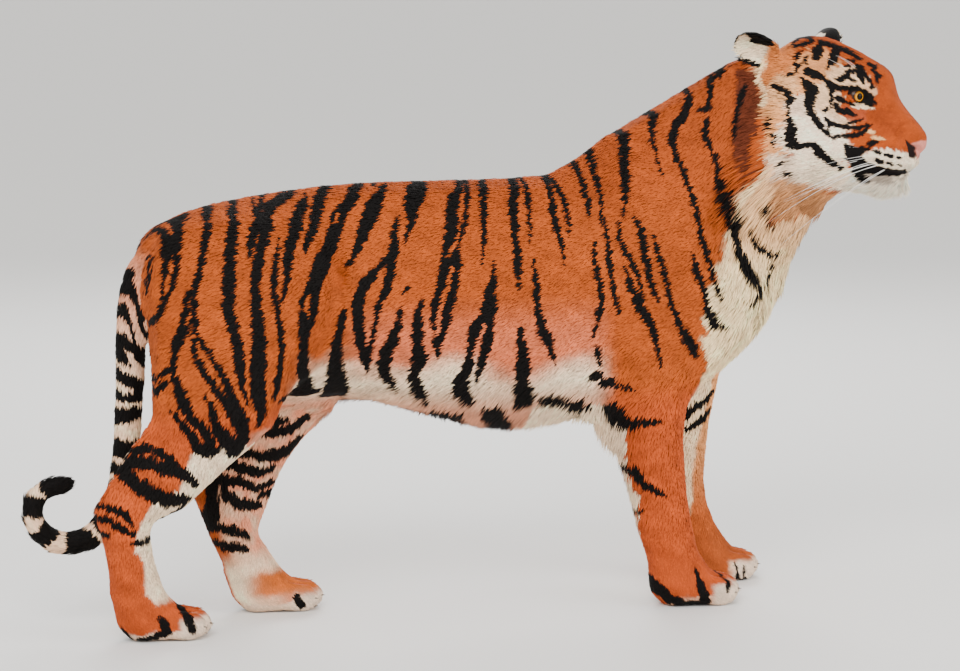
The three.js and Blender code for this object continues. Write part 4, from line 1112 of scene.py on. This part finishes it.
def no_hair(points):
    """True on the nose leather, between the lids, along the lips and under the feet."""
    head = to_head(points)
    up_there = points[:, 2] > MUZZLE_BOTTOM
    none = ((nose_leather(head) > 0.001) | (nostril(head) < 0.95)) & up_there
    for side in (-1.0, 1.0):
        local = eye_frame(head, side)
        none |= by_the_eye(local, 1.7) & (slit(local) > -0.0040)
    none |= (lip_line(head) < 0.003) & (head[:, 0] > 0.12) & up_there
    return none | (points[:, 2] < 0.003)


# ------------------------------------------------------------------- skin finish
# The hide carries the same markings as the coat, dyed into it and darkened a
# little as painted shade under the hair, with the fine relief of short hair lying
# flat and bare black skin at the lids and lips.
def write_colour(mesh, name, colour):
    """Store one colour for each point of a mesh, and round its faces off."""
    mesh.polygons.foreach_set("use_smooth", np.ones(len(mesh.polygons), bool))
    layer = mesh.color_attributes.new(name=name, type="FLOAT_COLOR", domain="POINT")
    flat = np.ones((len(colour), 4), np.float32)
    flat[:, :3] = colour
    layer.data.foreach_set("color", flat.ravel())


# painted shade: the hide is darkened where it lies under the coat
UNDER_HAIR_SHADE = 0.92
points = get_points(skin.data)
normals = get_normals(skin.data)
write_colour(skin.data, "coat", bare_parts(points, marks(points, normals)) * UNDER_HAIR_SHADE)
work_on(skin, bpy.ops.uv.smart_project, angle_limit=1.15, island_margin=0.004)
skin.data.uv_layers[0].name = "OFBake"


def fur_material(name, scale):
    """Dyed hair with its fine grain: little shine and a trace of sheen."""
    made, tree, shader = new_material(name)
    dye = tree.nodes.new("ShaderNodeVertexColor")
    dye.layer_name = "coat"
    noise = add_bump(tree, shader, scale, 0.35, 0.0015, 4.0)
    vary = tree.nodes.new("ShaderNodeMapRange")
    fill_in(vary, {"To Min": 0.80, "To Max": 1.20})
    mix = tree.nodes.new("ShaderNodeMix")
    mix.data_type = "RGBA"
    mix.blend_type = "MULTIPLY"
    fill_in(mix, {"Factor": 1.0})
    tree.links.new(noise.outputs["Fac"], vary.inputs["Value"])
    tree.links.new(dye.outputs["Color"], mix.inputs["A"])
    tree.links.new(vary.outputs["Result"], mix.inputs["B"])
    tree.links.new(mix.outputs["Result"], shader.inputs["Base Color"])
    fill_in(shader, {
        "Roughness": 0.66, "Specular IOR Level": 0.08, "Sheen Weight": 0.02, "Sheen Roughness": 0.5})
    return made


skin.data.materials.append(fur_material("hide", 900.0))

# -------------------------------------------------------------------------- coat
# Short dense guard hair in small pointed tufts that overlap like shingles and
# lie back along the body, down the legs and out from the nose. It is longest on
# the cheeks, throat, chest and belly and shortest on the face and the feet.
COAT_DICE = np.random.default_rng(41)
TAIL_TOP = 0.78
MOST_TRIANGLES = 199000


def in_ear_hair(height, aside):
    """True where an ear's own short hair grows."""
    return (height > 0.01) & (height < 0.15) & (aside < 0.062)


def lie_of_coat(points, normals):
    """The way the hair points at each place, along the skin."""
    head = to_head(points)
    way = np.tile(np.array([-1.0, 0.0, -0.42]), (len(points), 1))
    way[:, 2] -= 0.9 * ramp(points[:, 0], 0.40, 0.56) * ramp(points[:, 2], 0.45, 0.6)
    way = mixed(way, np.array([-0.22, 0.0, -1.0]), 1.0 - ramp(points[:, 2], 0.36, 0.66))
    way[:, 0] += 1.0 - ramp(points[:, 2], 0.03, 0.10)
    from_nose = head - np.array([0.27, 0.0, -0.045])
    from_nose[:, 1] *= 1.25
    face_way = unit(from_nose)
    face_way[:, 0] -= 0.35
    ahead = ramp(head[:, 0], -0.02, 0.06)
    cheek_way = np.array([-1.0, 0.0, -0.35]) + head * (0.0, 2.2, 0.0)
    cheek_way[:, 2] += 2.0 * np.clip(head[:, 2], -0.12, 0.12) - 0.25 * (head[:, 2] < -0.05)
    face_way = mixed(unit(cheek_way), face_way, ahead)
    on_head = ramp(head[:, 0], -0.14, -0.05) * (points[:, 2] > HEAD_BOTTOM)
    way = mixed(unit(way), unit(face_way) @ HEAD_TURN.T, on_head)
    for root, tip, _ in EARS:
        height, _, aside = from_ear(head, root, tip)
        way[in_ear_hair(height, aside)] = HEAD_TURN @ (0.9 * tip + (0.0, 0.0, -0.5))
    _, off, run, _ = along_tail(points)
    tail = on_tail(points, off, TAIL_TOP)
    way[tail] = run[tail]
    way = way + 0.10 * np.stack([ripple(points, 0.09, seed) for seed in (21, 22, 23)], axis=1)
    way = way - normals * np.sum(way * normals, axis=1, keepdims=True)
    return unit(way)


def coat_plan(points, normals):
    """Length, width, lift at the root, lift at the tip and spacing of the tufts."""
    head = to_head(points)
    z = points[:, 2]
    x = points[:, 0]
    high = z > HEAD_BOTTOM
    face = ramp(head[:, 0], -0.03, 0.07) * high
    snout = ramp(head[:, 0], 0.09, 0.17) * high
    length = 0.0175 - 0.0055 * face - 0.005 * snout
    width = 0.0044 - 0.0010 * face - 0.0012 * snout
    lift = 0.42 - 0.10 * face
    tip_lift = 0.10 - 0.03 * face + 0.07 * snout
    space = 0.0052 - 0.0012 * face - 0.0012 * snout
    feet = 1.0 - ramp(z, 0.05, 0.28)
    length -= 0.0075 * feet
    width -= 0.0014 * feet
    space -= 0.0012 * feet
    cheek = np.exp(-((head[:, 0] + 0.045) / 0.05) ** 2) * ramp(-head[:, 2], -0.02, 0.07) * high
    throat = ramp(-head[:, 2], 0.10, 0.15) * ramp(head[:, 0], -0.12, -0.04)
    throat = throat * (1 - ramp(head[:, 0], 0.10, 0.15)) * high
    length += 0.030 * cheek + 0.022 * throat
    width += 0.0010 * cheek
    lift += 0.12 * cheek
    tip_lift += 0.16 * cheek + 0.10 * throat
    chin = ramp(head[:, 0], 0.14, 0.18) * ramp(-head[:, 2], 0.115, 0.135) * high
    length += 0.010 * chin
    tip_lift += 0.25 * chin
    belly = ramp(x, -0.34, -0.2) * (1 - ramp(x, 0.22, 0.34))
    belly = belly * (1 - ramp(z, 0.44, 0.56)) * (z > 0.34)
    length += 0.024 * belly
    tip_lift += 0.28 * belly
    chest = ramp(x, 0.44, 0.54) * ramp(z, 0.42, 0.55) * (1 - ramp(z, 0.85, 1.0))
    length += 0.018 * chest
    tip_lift += 0.10 * chest
    elbow = np.exp(-((x - 0.30) / 0.05) ** 2) * ramp(-normals[:, 0], 0.2, 0.7)
    elbow = elbow * (z < 0.47) * ramp(z, 0.10, 0.2)
    length += 0.016 * elbow
    tip_lift += 0.30 * elbow
    tail = on_tail(points, along_tail(points)[1], TAIL_TOP)
    length = np.where(tail, 0.018, length)
    width = np.where(tail, 0.0040, width)
    space = np.where(tail, 0.0050, space)
    for root, tip, facing in EARS:
        height, _, aside = from_ear(head, root, tip)
        on_ear = in_ear_hair(height, aside)
        inside = on_ear & (((normals @ HEAD_TURN) @ facing) > 0.0)
        length = np.where(on_ear, 0.0065, length)
        length = np.where(inside, 0.015 + 0.014 * ramp(0.045 - height, -0.04, 0.03), length)
        length = np.where(on_ear & (height > 0.082), 0.005, length)
        width = np.where(on_ear, 0.0028, width)
        space = np.where(on_ear, 0.0040, space)
    return length, width, lift, tip_lift, space


skin.data.calc_loop_triangles()
triangles = read_rows(skin.data.loop_triangles, "vertices", 3, np.int32)
corner_loops = read_rows(skin.data.loop_triangles, "loops", 3, np.int32)
hide_uv = read_rows(skin.data.uv_layers["OFBake"].data, "uv", 2)
points = get_points(skin.data)
normals = get_normals(skin.data)
corners = points[triangles]
first_edge = corners[:, 1] - corners[:, 0]
second_edge = corners[:, 2] - corners[:, 0]
areas = np.linalg.norm(np.cross(first_edge, second_edge), axis=1) / 2
middle = corners.mean(axis=1)
middle_normal = unit(normals[triangles].mean(axis=1))
spacing = coat_plan(middle, middle_normal)[4]
# many more places are tried than needed, and each small cell of the room keeps one
hopes = 3.4 * areas / spacing ** 2
hopes[middle[:, 2] < 0.004] = 0.0
tried = int(hopes.sum())
picked = np.searchsorted(np.cumsum(hopes) / hopes.sum(), COAT_DICE.random(tried))
picked = np.minimum(picked, len(triangles) - 1)
shares = COAT_DICE.random((tried, 2))
over = shares.sum(axis=1) > 1
shares[over] = 1 - shares[over]
weights = np.stack([1 - shares.sum(axis=1), shares[:, 0], shares[:, 1]], axis=1)
roots = (corners[picked] * weights[:, :, None]).sum(axis=1)
root_normals = unit((normals[triangles[picked]] * weights[:, :, None]).sum(axis=1))
root_uv = (hide_uv[corner_loops[picked]] * weights[:, :, None]).sum(axis=1)
SMALLEST_CELL = 0.001
CELL_GROWTH = 1.12
CELLS_ACROSS = 8192
cell_size = np.round(np.log(spacing[picked] * 0.735 / SMALLEST_CELL) / np.log(CELL_GROWTH))
cell = SMALLEST_CELL * CELL_GROWTH ** cell_size
keys = np.floor(roots / cell[:, None]).astype(np.int64) + 4000
keys = (keys[:, 0] * CELLS_ACROSS + keys[:, 1]) * CELLS_ACROSS + keys[:, 2]
_, kept = np.unique(keys * 64 + cell_size.astype(np.int64), return_index=True)
roots, root_normals, root_uv = roots[kept], root_normals[kept], root_uv[kept]
bare = no_hair(roots)
roots, root_normals, root_uv = roots[~bare], root_normals[~bare], root_uv[~bare]

length, width, lift, tip_lift, _ = coat_plan(roots, root_normals)
lie = lie_of_coat(roots, root_normals)
length = length * COAT_DICE.uniform(0.75, 1.2, len(roots))
width = width * COAT_DICE.uniform(0.8, 1.25, len(roots))
lift = lift + COAT_DICE.normal(0.0, 0.05, len(roots))
tip_lift = tip_lift + COAT_DICE.normal(0.0, 0.05, len(roots))
sideways = np.cross(root_normals, lie)
turn = COAT_DICE.normal(0.0, 0.10, len(roots))[:, None]
lie = unit(lie * np.cos(turn) + sideways * np.sin(turn))
sideways = np.cross(root_normals, lie)
base_way = lie * np.cos(lift)[:, None] + root_normals * np.sin(lift)[:, None]
tip_way = lie * np.cos(tip_lift)[:, None] + root_normals * np.sin(tip_lift)[:, None]
start = roots - root_normals * 0.0015
bend = start + base_way * (0.42 * length)[:, None]
tip = bend + tip_way * (0.58 * length)[:, None]
half = sideways * (width / 2)[:, None]
ridge = bend + root_normals * (0.30 * width)[:, None]
tuft_points = np.stack([start, bend - half, bend + half, ridge, tip], axis=1)
tuft_points[:, :, 2] = np.maximum(tuft_points[:, :, 2], 0.0005)
soft = np.stack([
    root_normals, unit(root_normals - 0.55 * sideways), unit(root_normals + 0.55 * sideways),
    root_normals, unit(root_normals + 0.25 * lie),
], axis=1)
seen_at = roots + lie * (0.50 * length)[:, None]
dye = marks(seen_at, root_normals)
on_snout = ramp(to_head(roots)[:, 0], 0.02, 0.10) * (roots[:, 2] > HEAD_BOTTOM)
shade = 1.0 + COAT_DICE.normal(0.0, 0.07, len(roots)) * (1.0 + 0.8 * on_snout)
dye = dye * shade[:, None]
# each tuft runs from dark at the root, painted shade down in the coat, to a little lighter at the tip,
# painted light
root_shade_tip_light = np.array([0.62, 0.95, 0.95, 1.0, 1.10])
tuft_colour = np.clip(dye[:, None, :] * root_shade_tip_light[None, :, None], 0.0, 1.0)
TUFT_FACES = np.array([(0, 1, 3), (0, 3, 2), (0, 2, 1), (4, 3, 1), (4, 2, 3), (4, 1, 2)])
STRAND_PATCH = np.array([(0.5, 0.0), (0.0, 0.42), (1.0, 0.42), (0.5, 0.42), (0.5, 1.0)])
TUFT_PATCH = 0.0015 * np.array([(0.0, -1.0), (-0.9, 0.0), (0.9, 0.0), (0.0, 0.1), (0.0, 1.0)])

coat_head = to_head(roots)
left = roots[:, 1] > 0.0
REGIONS = (
    ("coat_tail", on_tail(roots, along_tail(roots)[1], 0.80)),
    ("coat_face", (coat_head[:, 0] > 0.035) & (roots[:, 2] > HEAD_BOTTOM)),
    ("coat_ruff", (coat_head[:, 0] > -0.12) & (roots[:, 2] > HEAD_BOTTOM)),
    ("coat_forelegs_right", ~left & (roots[:, 0] > 0.0) & (roots[:, 2] < 0.50)),
    ("coat_forelegs_left", left & (roots[:, 0] > 0.0) & (roots[:, 2] < 0.50)),
    ("coat_hindlegs_right", ~left & (roots[:, 0] < 0.0) & (roots[:, 2] < 0.56)),
    ("coat_hindlegs_left", left & (roots[:, 0] < 0.0) & (roots[:, 2] < 0.56)),
    ("coat_neck", roots[:, 0] > 0.42),
    ("coat_shoulder", roots[:, 0] > 0.14),
    ("coat_flank", roots[:, 0] > -0.22),
    ("coat_rump", roots[:, 0] > -9.0),
)
coat_material = fur_material("coat_hair", 1.0)
tree = coat_material.node_tree
strand_map = tree.nodes.new("ShaderNodeUVMap")
strand_map.uv_map = "strand"
hair_lines = tree.nodes["Mapping"]
fill_in(hair_lines, {"Scale": (7.0, 0.8, 1.0)})
tree.links.new(strand_map.outputs["UV"], hair_lines.inputs["Vector"])
fill_in(tree.nodes["Map Range"], {"From Min": 0.3, "From Max": 0.7, "To Min": 0.72, "To Max": 1.22})


def sew_tufts(name, chosen):
    """One mesh of the chosen tufts, with a small bake patch for each."""
    count = int(chosen.sum())
    mesh = bpy.data.meshes.new(name)
    mesh.vertices.add(count * 5)
    mesh.loops.add(count * 18)
    mesh.polygons.add(count * 6)
    faces = (TUFT_FACES[None] + (np.arange(count) * 5)[:, None, None]).reshape(-1)
    mesh.vertices.foreach_set("co", tuft_points[chosen].astype(np.float32).ravel())
    mesh.loops.foreach_set("vertex_index", faces.astype(np.int32))
    mesh.polygons.foreach_set("loop_start", np.arange(0, count * 18, 3, dtype=np.int32))
    mesh.update(calc_edges=True)
    write_colour(mesh, "coat", tuft_colour[chosen].reshape(-1, 3))
    uv = mesh.uv_layers.new(name="OFBake")
    patch = (root_uv[chosen][:, None, :] + TUFT_PATCH[None]).reshape(-1, 2)
    uv.data.foreach_set("uv", patch[faces].astype(np.float32).ravel())
    strands = mesh.uv_layers.new(name="strand")
    along = STRAND_PATCH[None] + (COAT_DICE.random((count, 1, 2)) * 40.0).round(2)
    strands.data.foreach_set("uv", along.reshape(-1, 2)[faces].astype(np.float32).ravel())
    mesh.uv_layers.active_index = 0
    mesh.normals_split_custom_set_from_vertices(soft[chosen].reshape(-1, 3).astype(np.float32))
    mesh.materials.append(coat_material)
    piece = bpy.data.objects.new(name, mesh)
    bpy.context.scene.collection.objects.link(piece)
    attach(piece, "root")


free = np.ones(len(roots), bool)
for name, chosen in REGIONS:
    mine = free & chosen
    free &= ~chosen
    if mine.sum() * len(TUFT_FACES) > MOST_TRIANGLES:
        sew_tufts(name + "_right", mine & ~left)
        sew_tufts(name + "_left", mine & left)
    else:
        sew_tufts(name, mine)

# -------------------------------------------------------------------------- eyes
# Glass eyes as a taxidermist sets them: a ball with a clear bulging front over
# an amber iris and a round pupil, ringed in black where the lids meet it.
IRIS_ANGLE = math.asin(0.60)
PUPIL_ANGLE = math.asin(0.36)
eye_material, tree, shader = new_material("eye_glass")
dye = tree.nodes.new("ShaderNodeVertexColor")
dye.layer_name = "eye"
tree.links.new(dye.outputs["Color"], shader.inputs["Base Color"])
fill_in(shader, {
    "Roughness": 0.12, "Specular IOR Level": 0.05, "Coat Weight": 0.15, "Coat Roughness": 0.02})
for side, name in ((-1.0, "right"), (1.0, "left")):
    gaze = HEAD_TURN @ (GAZE * (1.0, side, 1.0))
    centre = from_head((EYE_PLACE * (1.0, side, 1.0))[None])[0]
    bpy.ops.mesh.primitive_uv_sphere_add(segments=96, ring_count=64, radius=EYE_RADIUS, location=centre)
    eye = bpy.context.object
    eye.name = "eyeball_" + name
    eye.rotation_euler = Vector(gaze).to_track_quat("Z", "Y").to_euler()
    bpy.ops.object.transform_apply(location=True, rotation=True, scale=True)
    ball = get_points(eye.data)
    local = ball - centre
    angle = np.arccos(np.clip(unit(local) @ gaze, -1, 1))
    bulge = 1.0 + 0.07 * (1 - ramp(angle, 0.0, IRIS_ANGLE * 1.15))
    set_points(eye.data, centre + local * bulge[:, None])
    spin = np.arctan2(local @ np.cross(gaze, (0.0, 0.0, 1.0)), local[:, 2])
    rays = 0.85 + 0.15 * np.sin(spin * 37 + 3 * np.sin(spin * 5)) * np.sin(angle * 40)
    ring = ramp(angle, PUPIL_ANGLE, IRIS_ANGLE)
    iris = mixed(tone(236, 160, 20), tone(150, 76, 8), ring)
    # painted shadow of the upper lid: the top of the iris is darkened
    iris = iris * (rays * (1.0 - 0.6 * ramp(local[:, 2] / EYE_RADIUS, 0.10, 0.42)))[:, None]
    iris = mixed(iris, tone(30, 20, 14), ramp(angle, IRIS_ANGLE * 0.90, IRIS_ANGLE * 1.0))
    pupil = 1 - ramp(angle, PUPIL_ANGLE - 0.03, PUPIL_ANGLE + 0.02)
    iris = mixed(iris, tone(6, 5, 5), pupil)
    iris = mixed(iris, tone(62, 42, 32), ramp(angle, IRIS_ANGLE * 1.06, IRIS_ANGLE * 1.2))
    write_colour(eye.data, "eye", np.clip(iris, 0, 1))
    eye.data.materials.append(eye_material)
    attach(eye, "root")
    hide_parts("eye_" + name)

# ------------------------------------------------------------------------- claws
# The real claws are drawn back between the toes, so only their tips show: hard
# grey-brown horn, glossy, with fine growth lines.
def grained_material(name, dark, light, roughness, *grain):
    """A material that runs from dark to light along its own fine grain."""
    made, tree, shader = new_material(name)
    noise = add_bump(tree, shader, *grain)
    shades = tree.nodes.new("ShaderNodeValToRGB")
    shades.color_ramp.elements[0].color = dark
    shades.color_ramp.elements[1].color = light
    tree.links.new(noise.outputs["Fac"], shades.inputs["Fac"])
    tree.links.new(shades.outputs["Color"], shader.inputs["Base Color"])
    fill_in(shader, {"Roughness": roughness})
    return made


HORN_DARK = (0.055, 0.042, 0.034, 1.0)
HORN_LIGHT = (0.20, 0.15, 0.11, 1.0)
horn = grained_material(
    "claw_horn_finish", HORN_DARK, HORN_LIGHT, 0.3, 300.0, 0.25, 0.0004, 2.0, (1.0, 1.0, 6.0))
for name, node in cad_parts.items():
    if name.startswith("claw_"):
        for place in node.material_slots:
            place.material = horn

# ---------------------------------------------------------------------- whiskers
# Long stiff white hairs, four rows on each side of the upper lip and a few over
# each eye, thick at the root and drawn out to nothing. They sweep back and down.
HAIR_DARK = (0.80, 0.76, 0.70, 1.0)
HAIR_LIGHT = (0.93, 0.91, 0.88, 1.0)
whisker_material = grained_material("whisker_hair", HAIR_DARK, HAIR_LIGHT, 0.35, 200.0, 0.1, 0.0003)
WHISKER_STEPS = 14
WHISKER_DICE = np.random.default_rng(5)
WHISKER_LIMIT_Y = -0.266
# height of each row, its hindmost and foremost root, and how many hairs it has
WHISKER_ROWS = (
    (-0.072, 0.188, 0.228, 3),
    (-0.083, 0.178, 0.232, 4),
    (-0.093, 0.176, 0.228, 4),
    (-0.101, 0.184, 0.218, 3),
)
BROW_ROOTS = ((0.118, 0.052, 0.066), (0.126, 0.046, 0.068), (0.110, 0.058, 0.062))


def whisker(base, way, sag, reach_out, thick):
    """The points of one tapering hair with four sides."""
    share = np.linspace(0.0, 1.0, WHISKER_STEPS + 1)
    line = base + way * (share * reach_out)[:, None]
    line = line + sag * (share ** 2 * reach_out)[:, None]
    line = from_head(line)
    line[:, 1] = np.maximum(line[:, 1], WHISKER_LIMIT_Y)
    heading = unit(np.gradient(line, axis=0))
    across = unit(np.cross(heading, np.array([0.13, 0.2, 1.0])))
    other = np.cross(heading, across)
    radius = thick * (1.0 - share) ** 0.7 + 0.00008
    ring = np.stack([across, other, -across, -other], axis=1) * radius[:, None, None] + line[:, None, :]
    return ring.reshape(-1, 3)


hairs = []
for side in (-1.0, 1.0):
    for row, (up, first, last, many) in enumerate(WHISKER_ROWS):
        for forward in np.linspace(first, last, many):
            jitter = WHISKER_DICE.normal(0.0, 0.09, 3)
            base = np.array([forward, side * (0.060 - 0.35 * max(0.0, forward - 0.19)), up])
            rise = 0.26 - 0.16 * row - 5.0 * (forward - 0.20)
            way = toward(*(np.array([-0.62, side * 0.62, rise]) + jitter))
            sag = np.array([-0.42, -side * 0.18, -0.28 - 0.14 * row])
            hairs.append(whisker(base, way, sag, WHISKER_DICE.uniform(0.11, 0.20), 0.00055))
    for forward, out, up in BROW_ROOTS:
        jitter = WHISKER_DICE.normal(0.0, 0.08, 3)
        base = np.array([forward, side * out, up])
        way = toward(*(np.array([-0.2, side * 0.55, 0.75]) + jitter))
        sag = np.array([-0.7, side * 0.1, -0.2])
        hairs.append(whisker(base, way, sag, 0.07, 0.0005))
strip = []
for step in range(WHISKER_STEPS):
    for corner in range(4):
        a = step * 4 + corner
        b = step * 4 + (corner + 1) % 4
        strip.append((a, b, b + 4, a + 4))
strip.append((3, 2, 1, 0))
end = WHISKER_STEPS * 4
strip.append((end, end + 1, end + 2, end + 3))
faces = []
for index in range(len(hairs)):
    faces += [tuple(v + index * (WHISKER_STEPS + 1) * 4 for v in face) for face in strip]
mesh = bpy.data.meshes.new("whiskers")
mesh.from_pydata(np.concatenate(hairs).tolist(), [], faces)
mesh.update()
whiskers = bpy.data.objects.new("whiskers", mesh)
bpy.context.scene.collection.objects.link(whiskers)
work_on(whiskers, bpy.ops.mesh.normals_make_consistent, inside=False)
mesh.polygons.foreach_set("use_smooth", np.ones(len(mesh.polygons), bool))
mesh.materials.append(whisker_material)
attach(whiskers, "root")
